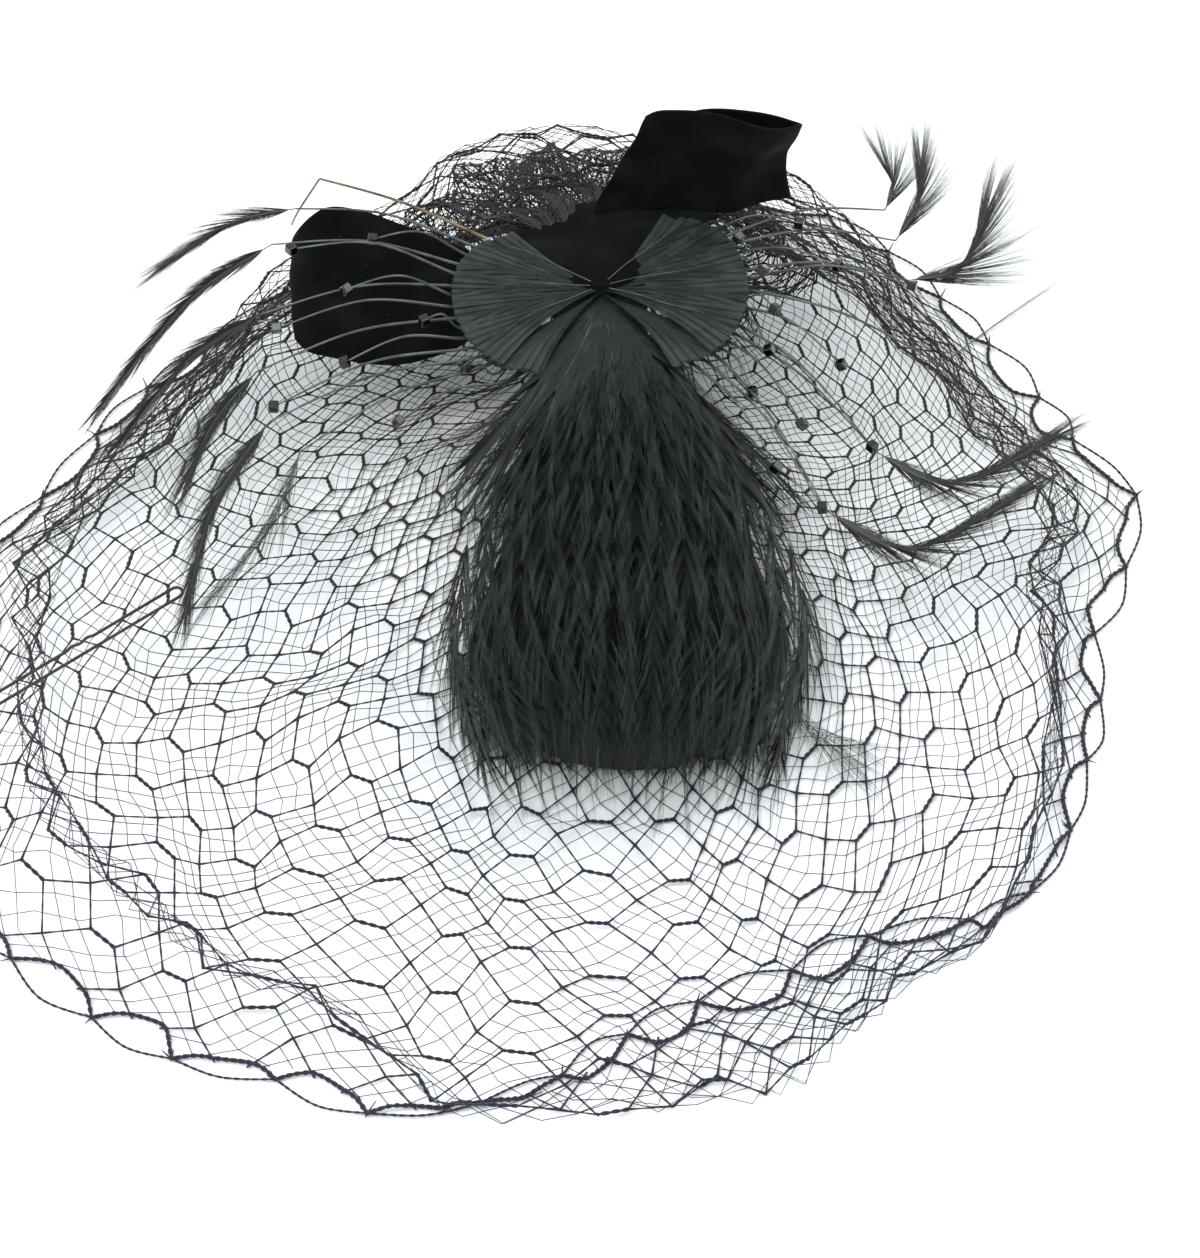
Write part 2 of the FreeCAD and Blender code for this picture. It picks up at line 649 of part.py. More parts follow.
def staple(foot, across):
    """One upright thread loop, its two feet apart along a direction."""
    start = foot - across * STITCH_REACH
    end = foot + across * STITCH_REACH
    return swept([Part.Arc(start, foot + Vector(0, 0, STITCH_REACH), end).toShape()], STITCH)


def veil_tacks():
    """Tacks that hold the net down round the base's wide end."""
    reach = base_out + size("edge_wire") + 2 * size("layer_gap") + STITCH_REACH + STITCH
    level = Vector(0, 0, net_top + STITCH_LIFT)
    tacks = []
    for turn in range(TACKS):
        angle = TACK_START + TACK_STEP * turn
        foot = on_circle(pad_origin + level, size("crown_wide") + reach, angle)
        tacks.append(staple(foot, on_circle(Vector(), 1, angle)))
    keep_shape("veil_tacks", Part.makeCompound(tacks))


def bow_stitches():
    """Stitches on the tab's top face, behind the bow's point."""
    row = size("bow_y") + ROOT_START + 1
    level = tab_top + STITCH_LIFT
    stitches = [staple(Vector(size("bow_x") + STITCH_SPACING * turn, row, level), Vector(1, 0, 0))
                for turn in (-2, -1, 0, 1, 2)]
    keep_shape("bow_stitches", Part.makeCompound(stitches))


veil_tacks()
bow_stitches()


# ---------------------------------------------------------------- veil
def veil_net():
    """The spread net: flat under the pad, puffed round it, down to the table at its edge."""
    body = doc.addObject("PartDesign::Body", "veil_net")
    sketch = new_sketch(body, "veil_section", "XZ_Plane")
    over = net_over
    under = net_under
    foot = Vector(0, size("veil_lift"), 0)
    head = Vector(0, net_top, 0)
    sketch.addGeometry(Part.LineSegment(foot, under[0]), False)
    sketch.addGeometry(Part.Arc(*under), False)
    sketch.addGeometry(Part.LineSegment(under[2], over[2]), False)
    sketch.addGeometry(Part.Arc(*reversed(over)), False)
    sketch.addGeometry(Part.LineSegment(over[0], head), False)
    sketch.addGeometry(Part.LineSegment(head, foot), False)
    doc.recompute()
    spin = body.newObject("PartDesign::Revolution", "veil_spin")
    spin.Profile = sketch
    spin.ReferenceAxis = (sketch, ["V_Axis"])
    spin.Angle = 360
    doc.recompute()
    hole = new_sketch(body, "veil_hole")
    hole.AttachmentOffset = PAD_PLACE
    wide = "Sizes.crown_wide + %s + 2 * Sizes.layer_gap" % BASE_OUT
    neck = "Sizes.crown_neck + %s + 2 * Sizes.layer_gap" % BASE_OUT
    guess = [evaluate(item) for item in (wide, neck, "Sizes.pad_taper")]
    teardrop(hole, wide, neck, "Sizes.pad_taper", guess)
    doc.recompute()
    pocket = body.newObject("PartDesign::Pocket", "veil_pocket")
    pocket.Profile = hole
    pocket.setExpression("Length", "Sizes.veil_crest_height")
    pocket.Reversed = True
    doc.recompute()
    keep(body, "veil_net")


GATHER_START = 50.0


def ring_part(label, ring, thickness, height, angle, start):
    """A torus or a part of one, level, round the middle of the veil."""
    torus = doc.addObject("Part::Torus", label)
    torus.setExpression("Radius1", ring)
    torus.setExpression("Radius2", thickness)
    torus.setExpression("Angle3", angle)
    torus.Placement = Placement(Vector(0, 0, height), Rotation(Vector(0, 0, 1), start))
    keep(torus, label)


veil_net()
ring_part("veil_selvage", "Sizes.veil_radius + Sizes.selvage_thickness / 2 + Sizes.layer_gap",
          "Sizes.selvage_thickness / 2", size("selvage_thickness") / 2 + size("layer_gap"),
          "360", 0)
ring_part("veil_gathers", "Sizes.gather_ring", "Sizes.gather_radius",
          gather_height, "Sizes.gather_angle", GATHER_START)


# ---------------------------------------------------------------- hairpin
PIN_BEND = Vector(-104, -20, 0)
PIN_HEADING = 217.0
PIN_DIP = 4.0
CRIMP_TURN = 24.0
CRIMP_RADIUS = 3.0
SHARE_TO_CRIMP = 0.4


def bent_path(start, moves):
    """Edges of a flat wire: straight runs (0, length) and tangent bends (radius, degrees)."""
    here = start
    heading = 0.0
    edges = []
    for radius, amount in moves:
        if radius == 0:
            there = on_circle(here, amount, heading)
            edges.append(Part.LineSegment(here, there).toShape())
        else:
            side = math.copysign(90, amount)
            centre = on_circle(here, radius, heading + side)
            middle = on_circle(centre, radius, heading - side + amount / 2)
            there = on_circle(centre, radius, heading - side + amount)
            edges.append(Part.Arc(here, middle, there).toShape())
            heading += amount
        here = there
    return edges


def hairpin():
    """A plain wire hairpin with a crimped leg, its legs pointing away from the bend."""
    half = (size("pin_width") - size("pin_wire")) / 2
    reach = size("pin_length") - half - size("pin_wire") / 2
    to_crimp = reach * SHARE_TO_CRIMP
    crimp = [(CRIMP_RADIUS, CRIMP_TURN * share) for share in (-1, 2, -2, 2, -1)]
    crimp_length = 8 * CRIMP_RADIUS * math.sin(math.radians(CRIMP_TURN))
    moves = [(0, reach), (half, 180), (0, to_crimp)] + crimp + [(0, reach - to_crimp - crimp_length)]
    path = Part.Wire(bent_path(Vector(-reach, -half, 0), moves))
    ring = Part.Wire([Part.Circle(Vector(-reach, -half, 0), Vector(1, 0, 0),
                                  size("pin_wire") / 2).toShape()])
    pin = path.makePipeShell([ring], True, True)
    heading = Rotation(Vector(0, 0, 1), PIN_HEADING + 180).multiply(
        Rotation(Vector(0, 1, 0), -PIN_DIP))
    keep_shape("hairpin", pin, Placement(PIN_BEND + Vector(0, 0, net_peak + size("pin_lift")), heading))


hairpin()


# ---------------------------------------------------------------- checks and files
def check_and_write():
    """Refuse a failed object or a broken shape, then write one file per sub-part."""
    doc.recompute()
    for obj in doc.Objects:
        if "Invalid" in obj.State or "Error" in obj.State:
            raise RuntimeError("%s failed: %s" % (obj.Name, obj.State))
    os.makedirs("parts", exist_ok=True)
    for obj in nodes:
        shape = obj.Shape
        if shape.isNull() or not shape.isValid() or not shape.Solids:
            raise RuntimeError("%s has no valid solid" % obj.Label)
        shape.exportStep("parts/%s.step" % obj.Label)
        box = shape.optimalBoundingBox(False)
        print("%-20s %2d solids %9.1f mm3  x %6.1f %6.1f  y %6.1f %6.1f  z %6.1f %6.1f"
              % (obj.Label, len(shape.Solids), shape.Volume, box.XMin, box.XMax,
                 box.YMin, box.YMax, box.ZMin, box.ZMax))


check_and_write()
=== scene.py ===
"""Looks of a cocktail fascinator: feather pad, trimmed feather fans, velvet bow, quill
sprays with glass beads, plumes, birdcage veil and hairpin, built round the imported
frame.  The file is laid out as an add-on: sizes and colours are properties, and each
piece, or group of like pieces, has an operator of its own."""
import math
import random

import bmesh
import bpy
from bpy.props import FloatProperty, IntProperty, PointerProperty, StringProperty
from mathutils import Matrix, Vector, noise


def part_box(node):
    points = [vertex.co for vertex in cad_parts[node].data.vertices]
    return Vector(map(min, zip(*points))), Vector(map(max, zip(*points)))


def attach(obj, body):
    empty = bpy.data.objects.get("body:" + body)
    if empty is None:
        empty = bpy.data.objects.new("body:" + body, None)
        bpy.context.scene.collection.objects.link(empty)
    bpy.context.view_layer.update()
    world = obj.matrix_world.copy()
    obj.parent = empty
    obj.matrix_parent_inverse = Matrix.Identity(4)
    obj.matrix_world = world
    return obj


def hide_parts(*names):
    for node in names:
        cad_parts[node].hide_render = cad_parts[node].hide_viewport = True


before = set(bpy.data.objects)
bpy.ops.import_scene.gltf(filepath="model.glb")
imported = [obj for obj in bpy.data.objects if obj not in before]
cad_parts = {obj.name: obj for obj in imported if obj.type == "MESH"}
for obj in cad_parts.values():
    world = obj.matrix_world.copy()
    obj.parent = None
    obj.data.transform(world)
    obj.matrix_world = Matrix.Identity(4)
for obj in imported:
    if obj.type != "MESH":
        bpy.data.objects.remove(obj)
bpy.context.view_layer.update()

bl_info = {
    "name": "Fascinator Headpiece",
    "version": (1, 0, 0),
    "blender": (4, 5, 0),
    "location": "View3D > Sidebar > Fascinator",
    "description": "Feathers, velvet, beads and birdcage netting round a packed frame",
    "category": "Object",
}

MM = 0.001
TURN = 2 * math.pi
UP = Vector((0, 0, 1))


# ---------------------------------------------------------------- places from the frame
def node_box(node):
    """Lowest and highest corner of a node of the frame, in millimetres."""
    low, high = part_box(node)
    return low / MM, high / MM


def node_centre(node):
    """Middle of a node's box, in millimetres."""
    low, high = node_box(node)
    return (low + high) / 2


WAD_LOW, WAD_HIGH = node_box("pad_wadding")
WADDING_OFFSET = 8.5     # how far the wadding stands out from the inside of the base
PAD_X = (WAD_LOW.x + WAD_HIGH.x) / 2
WIDE_RADIUS = (WAD_HIGH.x - WAD_LOW.x) / 2 - WADDING_OFFSET
NECK_RADIUS = 10.0       # inside radius of the base at its neck
WIDE_Y = WAD_LOW.y + WIDE_RADIUS + WADDING_OFFSET
NECK_Y = WAD_HIGH.y - NECK_RADIUS - WADDING_OFFSET
CROWN_HEIGHT = WAD_HIGH.z - WADDING_OFFSET + 0.4

BINDING = node_centre("fan_binding")
BOW = Vector((BINDING.x, BINDING.y - 6.4, 52.0))     # where both fans meet
TAB_FRONT = node_box("bow_tab")[0].y
TAB_TOP = node_box("bow_tab")[1].z


# ---------------------------------------------------------------- settings of the add-on
class FascinatorSettings(bpy.types.PropertyGroup):
    """Sizes and colours that a milliner would change."""
    net_columns: IntProperty(
        name="Net columns", description="Mesh columns round the veil", default=42, min=24)
    net_rows: IntProperty(
        name="Net rows", description="Mesh rows from the bow to the veil's edge",
        default=19, min=8)
    bar_thickness: FloatProperty(
        name="Bar", description="Radius of one ply of the net's thick knotted bars",
        default=0.36 * MM, unit="LENGTH")
    strand_thickness: FloatProperty(
        name="Strand", description="Radius of the net's twisted strands",
        default=0.30 * MM, unit="LENGTH")
    fine_thickness: FloatProperty(
        name="Fine thread", description="Radius of the net's fine threads",
        default=0.13 * MM, unit="LENGTH")
    pad_barbs: IntProperty(
        name="Pad barbs", description="Barbs on each side of a pad feather",
        default=98, min=12)
    fan_barbs: IntProperty(
        name="Fan barbs", description="Barbs on each side of a fan feather",
        default=110, min=12)
    bead_width: FloatProperty(
        name="Bead", description="Width of a cube bead", default=3.0 * MM, unit="LENGTH")
    ribbon_thickness: FloatProperty(
        name="Ribbon", description="Velvet with its backing", default=0.9 * MM,
        unit="LENGTH")
    feather_colour: StringProperty(
        name="Feather", description="Dyed body feathers, sRGB hex", default="#0e1414")
    # Painted sheen: the lighter colour painted on the pad's barb tips and streaks, in place of
    # light caught by the barbs.
    feather_painted_sheen_colour: StringProperty(
        name="Feather sheen", description="Where barbs catch the light, sRGB hex",
        default="#2c3735")
    fan_colour: StringProperty(
        name="Fan", description="Trimmed fan feathers, sRGB hex", default="#101615")
    # Painted sheen of the fans: the lighter colour painted on their barb tips and streaks, in
    # place of light caught by the barbs.
    fan_painted_sheen_colour: StringProperty(
        name="Fan sheen", description="Lighter streaks of the fans, sRGB hex",
        default="#28312e")
    velvet_colour: StringProperty(
        name="Velvet", description="Pile of the ribbon, sRGB hex", default="#050607")
    net_front_colour: StringProperty(
        name="Net", description="Dyed silk of the veil's front, sRGB hex",
        default="#1b1830")
    net_back_colour: StringProperty(
        name="Net back", description="Browner dye at the heading, sRGB hex",
        default="#1d1814")
    quill_colour: StringProperty(
        name="Quill", description="Stripped quills, sRGB hex", default="#2c2f32")
    pin_colour: StringProperty(
        name="Hairpin", description="Japanned wire, sRGB hex", default="#15110b")


def settings():
    """The add-on's settings in the open scene."""
    return bpy.context.scene.fascinator


# ---------------------------------------------------------------- materials
MIX_FACTOR, MIX_A, MIX_B, MIX_RESULT = 0, 6, 7, 2     # a Mix node's colour sockets


def linear(hex_colour, alpha=1.0):
    """Linear colour of an sRGB hex string."""
    parts = [int(hex_colour[i:i + 2], 16) / 255 for i in (1, 3, 5)]
    return (*(c / 12.92 if c <= 0.04045 else ((c + 0.055) / 1.055) ** 2.4 for c in parts), alpha)


def add_node(tree, kind, inputs=None, **options):
    """Add a node: options are its settings, inputs are numbers or sockets to link."""
    node = tree.nodes.new(kind)
    for option, value in options.items():
        setattr(node, option, value)
    for socket, value in (inputs or {}).items():
        if isinstance(value, bpy.types.NodeSocket):
            tree.links.new(value, node.inputs[socket])
        else:
            node.inputs[socket].default_value = value
    return node


def new_material(name, **surface):
    """A material with its shader; surface holds the shader's own sockets."""
    material = bpy.data.materials.new(name)
    material.use_nodes = True
    tree = material.node_tree
    shader = tree.nodes["Principled BSDF"]
    for socket, value in surface.items():
        shader.inputs[socket.replace("_", " ")].default_value = value
    return material, tree, shader


def ramp(tree, factor, *stops):
    """A colour ramp through (place, colour) stops."""
    node = add_node(tree, "ShaderNodeValToRGB", {"Fac": factor})
    band = node.color_ramp
    while len(band.elements) < len(stops):
        band.elements.new(1.0)
    for element, (place, colour) in zip(band.elements, stops):
        element.position = place
        element.color = colour
    return node.outputs["Color"]


def bump(tree, shader, height, strength, depth):
    """Bend the shader's normal by a height, depth in metres."""
    node = add_node(tree, "ShaderNodeBump", {"Height": height, "Strength": strength,
                                             "Distance": depth})
    tree.links.new(node.outputs["Normal"], shader.inputs["Normal"])


def vane_material(name, dark, light, roughness, clump_mm, barb_lines=34.0):
    """Dyed feather vane with painted sheen: the dyed colour is dark near the shaft and painted
    lighter out towards the barb tips, with lighter streaks painted where locks of barbs would
    catch the light and finer ones from barb to barb, part random tone and part painted sheen.
    Barbules are finer than a render shows, so the fine grain is drawn at 0.25 mm."""
    material, tree, shader = new_material(
        name, Roughness=roughness, Sheen_Weight=0.08, Sheen_Roughness=0.4,
        Specular_IOR_Level=0.35)
    place = add_node(tree, "ShaderNodeTexCoord").outputs["Object"]
    along = add_node(tree, "ShaderNodeUVMap", uv_map="vane").outputs["UV"]
    # Locks of barbs: random patches that push the colour towards the painted sheen.
    locks = add_node(tree, "ShaderNodeTexNoise", {"Vector": place, "Detail": 3.0,
                                                  "Scale": 1 / (clump_mm * MM)})
    share = add_node(tree, "ShaderNodeSeparateXYZ", {"Vector": along})
    # Painted sheen: the colour grows lighter from the shaft out to the barb tips.
    outer = add_node(tree, "ShaderNodeMath", {0: share.outputs["X"], 1: 0.45},
                     operation="MULTIPLY")
    level = add_node(tree, "ShaderNodeMath", {0: outer.outputs[0],
                                              1: locks.outputs["Fac"]}, operation="ADD")
    # Streaks from barb to barb: random tone laid on the same ramp, so partly painted sheen.
    lines = add_node(tree, "ShaderNodeVectorMath", {0: along, 1: (1.2, barb_lines, 0)},
                     operation="MULTIPLY")
    moved = add_node(tree, "ShaderNodeVectorMath",
                     {0: place, 1: (40, 40, 40), 2: lines.outputs[0]},
                     operation="MULTIPLY_ADD")
    streak = add_node(tree, "ShaderNodeTexNoise", {"Vector": moved.outputs[0], "Scale": 1.0,
                                                   "Detail": 1.0})
    spread = add_node(tree, "ShaderNodeMapRange", {
        "Value": streak.outputs["Fac"], "From Min": 0.3, "From Max": 0.7, "To Min": -0.14,
        "To Max": 0.14})
    level = add_node(tree, "ShaderNodeMath", {0: level.outputs[0],
                                              1: spread.outputs["Result"]}, operation="ADD")
    # Ramp from the dyed dark colour up to the painted sheen colour.
    colour = ramp(tree, level.outputs[0], (0.42, linear(dark)), (0.62, linear(dark)),
                  (0.98, linear(light)))
    tree.links.new(colour, shader.inputs["Base Color"])
    grain = add_node(tree, "ShaderNodeTexNoise", {"Vector": place, "Detail": 2.0,
                                                  "Scale": 1 / (0.25 * MM)})
    bump(tree, shader, grain.outputs["Fac"], 0.35, 0.1 * MM)
    return material


def velvet_material():
    """Silk velvet: a black pile that goes grey at grazing angles, brushed in cloudy
    patches, with a little lint.  The pile's 0.2 mm tufts are drawn at 0.3 mm."""
    material, tree, shader = new_material(
        "silk_velvet_woven", Roughness=0.95, Sheen_Weight=0.22, Sheen_Roughness=0.35,
        Specular_IOR_Level=0.1)
    shader.inputs["Sheen Tint"].default_value = linear("#8a8d90")
    place = add_node(tree, "ShaderNodeTexCoord").outputs["Object"]
    clouds = add_node(tree, "ShaderNodeTexNoise", {"Vector": place, "Scale": 1 / (14 * MM),
                                                   "Detail": 4.0})
    pile = ramp(tree, clouds.outputs["Fac"], (0.45, linear(settings().velvet_colour)),
                (0.75, linear("#121415")))
    lint = add_node(tree, "ShaderNodeTexVoronoi", {"Vector": place, "Scale": 1 / (2.4 * MM),
                                                   "Randomness": 1.0})
    specks = ramp(tree, lint.outputs["Distance"], (0.05, (1, 1, 1, 1)), (0.09, (0, 0, 0, 1)))
    sparse = add_node(tree, "ShaderNodeTexNoise", {"Vector": place, "Scale": 1 / (5 * MM)})
    where = ramp(tree, sparse.outputs["Fac"], (0.56, (0, 0, 0, 1)), (0.62, (1, 1, 1, 1)))
    amount = add_node(tree, "ShaderNodeMath", {0: specks, 1: where}, operation="MULTIPLY")
    mix = add_node(tree, "ShaderNodeMix", {MIX_FACTOR: amount.outputs[0], MIX_A: pile,
                                           MIX_B: linear("#3c4041")}, data_type="RGBA")
    tree.links.new(mix.outputs[MIX_RESULT], shader.inputs["Base Color"])
    tufts = add_node(tree, "ShaderNodeTexNoise", {"Vector": place, "Scale": 1 / (0.3 * MM)})
    bump(tree, shader, tufts.outputs["Fac"], 0.6, 0.2 * MM)
    return material


def net_material():
    """Twisted silk and nylon net: matt thread, blue-black at the front and browner at the
    heading, with a slubby change of tone every few millimetres."""
    material, tree, shader = new_material(
        "net_silk_twisted", Roughness=0.55, Sheen_Weight=0.15, Specular_IOR_Level=0.4)
    place = add_node(tree, "ShaderNodeTexCoord").outputs["Object"]
    split = add_node(tree, "ShaderNodeSeparateXYZ", {"Vector": place})
    back = add_node(tree, "ShaderNodeMapRange", {
        "Value": split.outputs["Y"], "From Min": -0.10, "From Max": 0.06})
    dye = ramp(tree, back.outputs["Result"], (0.0, linear(settings().net_front_colour)),
               (1.0, linear(settings().net_back_colour)))
    slubs = add_node(tree, "ShaderNodeTexNoise", {"Vector": place, "Scale": 1 / (3 * MM)})
    tone = ramp(tree, slubs.outputs["Fac"], (0.3, (0.45, 0.45, 0.45, 1)), (0.7, (1, 1, 1, 1)))
    mix = add_node(tree, "ShaderNodeMix", {MIX_FACTOR: 1.0, MIX_A: dye, MIX_B: tone},
                   data_type="RGBA", blend_type="MULTIPLY")
    tree.links.new(mix.outputs[MIX_RESULT], shader.inputs["Base Color"])
    return material


def mottled_material(name, colours, patch_mm, grain_mm, depth_mm, **surface):
    """A material whose tone drifts in patches, with a bumped grain."""
    material, tree, shader = new_material(name, **surface)
    place = add_node(tree, "ShaderNodeTexCoord").outputs["Object"]
    drift = add_node(tree, "ShaderNodeTexNoise", {"Vector": place, "Detail": 3.0,
                                                  "Scale": 1 / (patch_mm * MM)})
    tone = ramp(tree, drift.outputs["Fac"], (0.35, linear(colours[0])),
                (0.7, linear(colours[1])))
    tree.links.new(tone, shader.inputs["Base Color"])
    grain = add_node(tree, "ShaderNodeTexNoise", {"Vector": place,
                                                  "Scale": 1 / (grain_mm * MM)})
    bump(tree, shader, grain.outputs["Fac"], 0.5, depth_mm * MM)
    return material


def woven_material(name, colours, thread_mm, **surface):
    """Plain weave: two crossed sets of ridges at the thread's spacing, drawn on the
    piece's own axes."""
    material, tree, shader = new_material(name, **surface)
    place = add_node(tree, "ShaderNodeTexCoord").outputs["Object"]
    ridges = [add_node(tree, "ShaderNodeTexWave", {"Vector": place, "Distortion": 0.6,
                                                   "Scale": 1 / (thread_mm * MM * TURN)},
                       bands_direction=axis) for axis in ("X", "Y")]
    weave = add_node(tree, "ShaderNodeMath", {0: ridges[0].outputs["Fac"],
                                              1: ridges[1].outputs["Fac"]},
                     operation="MAXIMUM")
    tone = ramp(tree, weave.outputs[0], (0.2, linear(colours[0])), (0.9, linear(colours[1])))
    tree.links.new(tone, shader.inputs["Base Color"])
    bump(tree, shader, weave.outputs[0], 0.6, 0.15 * MM)
    return material


def barb_material(name, dark, light):
    """Long hackle with free barbs: near black at the shaft, greyer towards the tips."""
    material, tree, shader = new_material(
        name, Roughness=0.5, Sheen_Weight=0.2)
    along = add_node(tree, "ShaderNodeUVMap", uv_map="vane").outputs["UV"]
    share = add_node(tree, "ShaderNodeSeparateXYZ", {"Vector": along})
    place = add_node(tree, "ShaderNodeTexCoord").outputs["Object"]
    drift = add_node(tree, "ShaderNodeTexNoise", {"Vector": place, "Scale": 1 / (6 * MM)})
    level = add_node(tree, "ShaderNodeMath", {0: share.outputs["X"],
                                              1: drift.outputs["Fac"]}, operation="MULTIPLY")
    tone = ramp(tree, level.outputs[0], (0.05, linear(dark)), (0.6, linear(light)))
    tree.links.new(tone, shader.inputs["Base Color"])
    return material


# ---------------------------------------------------------------- shared ways of making
def catmull(rows, place, closed=False):
    """Point of a smooth line through the rows, at a row number with a fraction."""
    count = len(rows)
    first = math.floor(place)
    t = place - first

    def row(index):
        return rows[index % count] if closed else rows[min(max(index, 0), count - 1)]

    before, start, end, after = (row(first + k) for k in (-1, 0, 1, 2))
    return [0.5 * (2 * b + (c - a) * t + (2 * a - 5 * b + 4 * c - d) * t * t
                   + (3 * b - a - 3 * c + d) * t ** 3)
            for a, b, c, d in zip(before, start, end, after)]


def along_path(points, count):
    """Evenly spaced points along straight runs between close points."""
    reach = [0.0]
    for a, b in zip(points, points[1:]):
        reach.append(reach[-1] + (b - a).length)
    out, k = [], 0
    for i in range(count + 1):
        want = reach[-1] * i / count
        while k < len(points) - 2 and reach[k + 1] < want:
            k += 1
        span = max(reach[k + 1] - reach[k], 1e-9)
        out.append(points[k].lerp(points[k + 1], (want - reach[k]) / span))
    return out


def smooth_path(points, count):
    """Evenly spaced points on a smooth line through a few chosen ones."""
    steps = 8 * (len(points) - 1)
    close = [Vector(catmull(points, i / 8)) for i in range(steps)] + [Vector(points[-1])]
    return along_path(close, count)


def finish_piece(name, source, material, slot, *nodes, body="headpiece", smooth=True):
    """Make a bmesh or mesh drawn in millimetres a piece that rides on a body and stands for
    nodes of the frame."""
    mesh = source
    if isinstance(source, bmesh.types.BMesh):
        mesh = bpy.data.meshes.new(name)
        source.to_mesh(mesh)
        source.free()
    mesh.transform(Matrix.Scale(MM, 4))
    mesh.name = name
    mesh.polygons.foreach_set("use_smooth", [smooth] * len(mesh.polygons))
    mesh.materials.clear()
    mesh.materials.append(material)
    piece = bpy.data.objects.new(name, mesh)
    bpy.context.scene.collection.objects.link(piece)
    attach(piece, body)
    if nodes:
        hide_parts(*nodes)
    return piece


def tube_mesh(runs, sides=4):
    """Closed round tubes along runs of (point, radius) pairs, as one mesh."""
    curve = bpy.data.curves.new("runs", "CURVE")
    curve.dimensions = "3D"
    curve.bevel_depth = 1.0
    curve.bevel_resolution = (sides - 4) // 2
    curve.use_fill_caps = True
    for run in runs:
        spline = curve.splines.new("POLY")
        spline.points.add(len(run) - 1)
        spline.points.foreach_set("co", [c for p, _ in run for c in (p.x, p.y, p.z, 1.0)])
        spline.points.foreach_set("radius", [r for _, r in run])
    carrier = bpy.data.objects.new("runs", curve)
    mesh = bpy.data.meshes.new_from_object(carrier)
    bpy.data.objects.remove(carrier)
    bpy.data.curves.remove(curve)
    return mesh


def tapered(points, start, end):
    """A run whose radius goes from start to end."""
    last = len(points) - 1
    return [(p, start + (end - start) * i / last) for i, p in enumerate(points)]


def two_ply(points, ply, turns):
    """Two runs twisted round each other along the points."""
    runs = ([], [])
    last = len(points) - 1
    for i, point in enumerate(points):
        ahead = points[min(i + 1, last)] - points[max(i - 1, 0)]
        side = ahead.cross(UP).normalized()
        lift = side.cross(ahead).normalized()
        for k, run in enumerate(runs):
            angle = TURN * turns * i / last + math.pi * k
            offset = side * math.cos(angle) + lift * math.sin(angle)
            run.append((point + offset * ply * 0.85, ply))
    return runs


# ---------------------------------------------------------------- feathers
BARB_STEPS = 4
TABLE_CLEAR = 0.4        # no barb hangs lower than this over the table


def barb_grid(bm, uv, barbs, place, flip):
    """Separate flat barbs.  Every second column of a grid's faces is taken away, and
    place(barb, edge, share) says where each point goes: barb and share from 0 to 1,
    edge -1 or 1."""
    columns = 2 * barbs - 1
    verts = bmesh.ops.create_grid(bm, x_segments=columns, y_segments=BARB_STEPS,
                                  size=1.0)["verts"]
    spots = {v: (round((v.co.x + 1) / 2 * columns), (v.co.y + 1) / 2) for v in verts}
    faces = {f for v in verts for f in v.link_faces}
    gaps = [f for f in faces if len({spots[v][0] // 2 for v in f.verts}) > 1]
    bmesh.ops.delete(bm, geom=gaps, context="FACES_ONLY")
    bmesh.ops.delete(bm, geom=[e for e in {e for v in verts for e in v.link_edges}
                               if not e.link_faces], context="EDGES")
    kept = [f for f in faces if f.is_valid]
    for face in kept:
        for loop in face.loops:
            column, share = spots[loop.vert]
            loop[uv].uv = (share, (column // 2) / max(barbs - 1, 1))
    for vert, (column, share) in spots.items():
        vert.co = place((column // 2) / max(barbs - 1, 1), 1 if column % 2 else -1, share)
    if flip:
        bmesh.ops.reverse_faces(bm, faces=kept)


def new_vanes():
    """An empty bmesh with the map that vane materials read."""
    bm = bmesh.new()
    return bm, bm.loops.layers.uv.new("vane")


def add_feather(bm, uv, spine, normals, width, barbs, rng, sweep=(44, 16), base=0.55,
                tip=0.4, cover=1.8, camber=1.2, split=4.0, ragged=0.12, point_share=0.8):
    """One vane on both sides of a spine: width is a half width in millimetres, sweep the
    angle of the barbs to the spine at its root and its tip, base and tip the width
    there as a share, cover how far a barb overlaps the next, split how far locks of
    barbs swing apart, in degrees, ragged how much their lengths differ, and point_share
    how far a barb thins to its tip."""
    last = len(spine) - 1
    length = sum((b - a).length for a, b in zip(spine, spine[1:]))
    for side in (-1, 1):
        swing, locks = 0.0, []
        for _ in range(barbs):
            if rng.random() < 0.16:
                swing = rng.uniform(-split, split)
            locks.append((swing + rng.uniform(-1, 1), 1 + rng.uniform(-ragged, ragged)))

        def place(barb, edge, share, side=side, locks=locks):
            where = (0.04 + 0.95 * barb) * last
            k = min(int(where), last - 1)
            root = spine[k].lerp(spine[k + 1], where - k)
            ahead = (spine[k + 1] - spine[k]).normalized()
            normal = normals[k].lerp(normals[k + 1], where - k).normalized()
            out = ahead.cross(normal).normalized() * side
            turn, reach = locks[min(round(barb * (barbs - 1)), barbs - 1)]
            angle = math.radians(sweep[0] + (sweep[1] - sweep[0]) * barb + turn)
            profile = min(base + (1 - base) * barb / 0.35, 1.0)
            if barb > 0.6:
                profile = tip + (1 - tip) * math.sqrt(max(1 - ((barb - 0.6) / 0.4) ** 2, 0))
            span = width * profile * reach / max(math.sin(angle), 0.35)
            bent = angle * (1 - 0.35 * share)
            point = root + (out * math.sin(bent) + ahead * math.cos(bent)) * span * share
            thick = length / barbs * cover * (1 - point_share * share ** 1.7) / 2
            point += ahead * thick * edge
            point -= normal * camber * (share * profile) ** 2
            point.z = max(point.z, TABLE_CLEAR)
            return point

        barb_grid(bm, uv, barbs, place, side > 0)


def shaft_run(spine, normals, start, end, lift=0.15):
    """The visible shaft of a feather, on top of its vane."""
    raised = [p + n * lift for p, n in zip(spine, normals)]
    return tapered(raised, start, end)


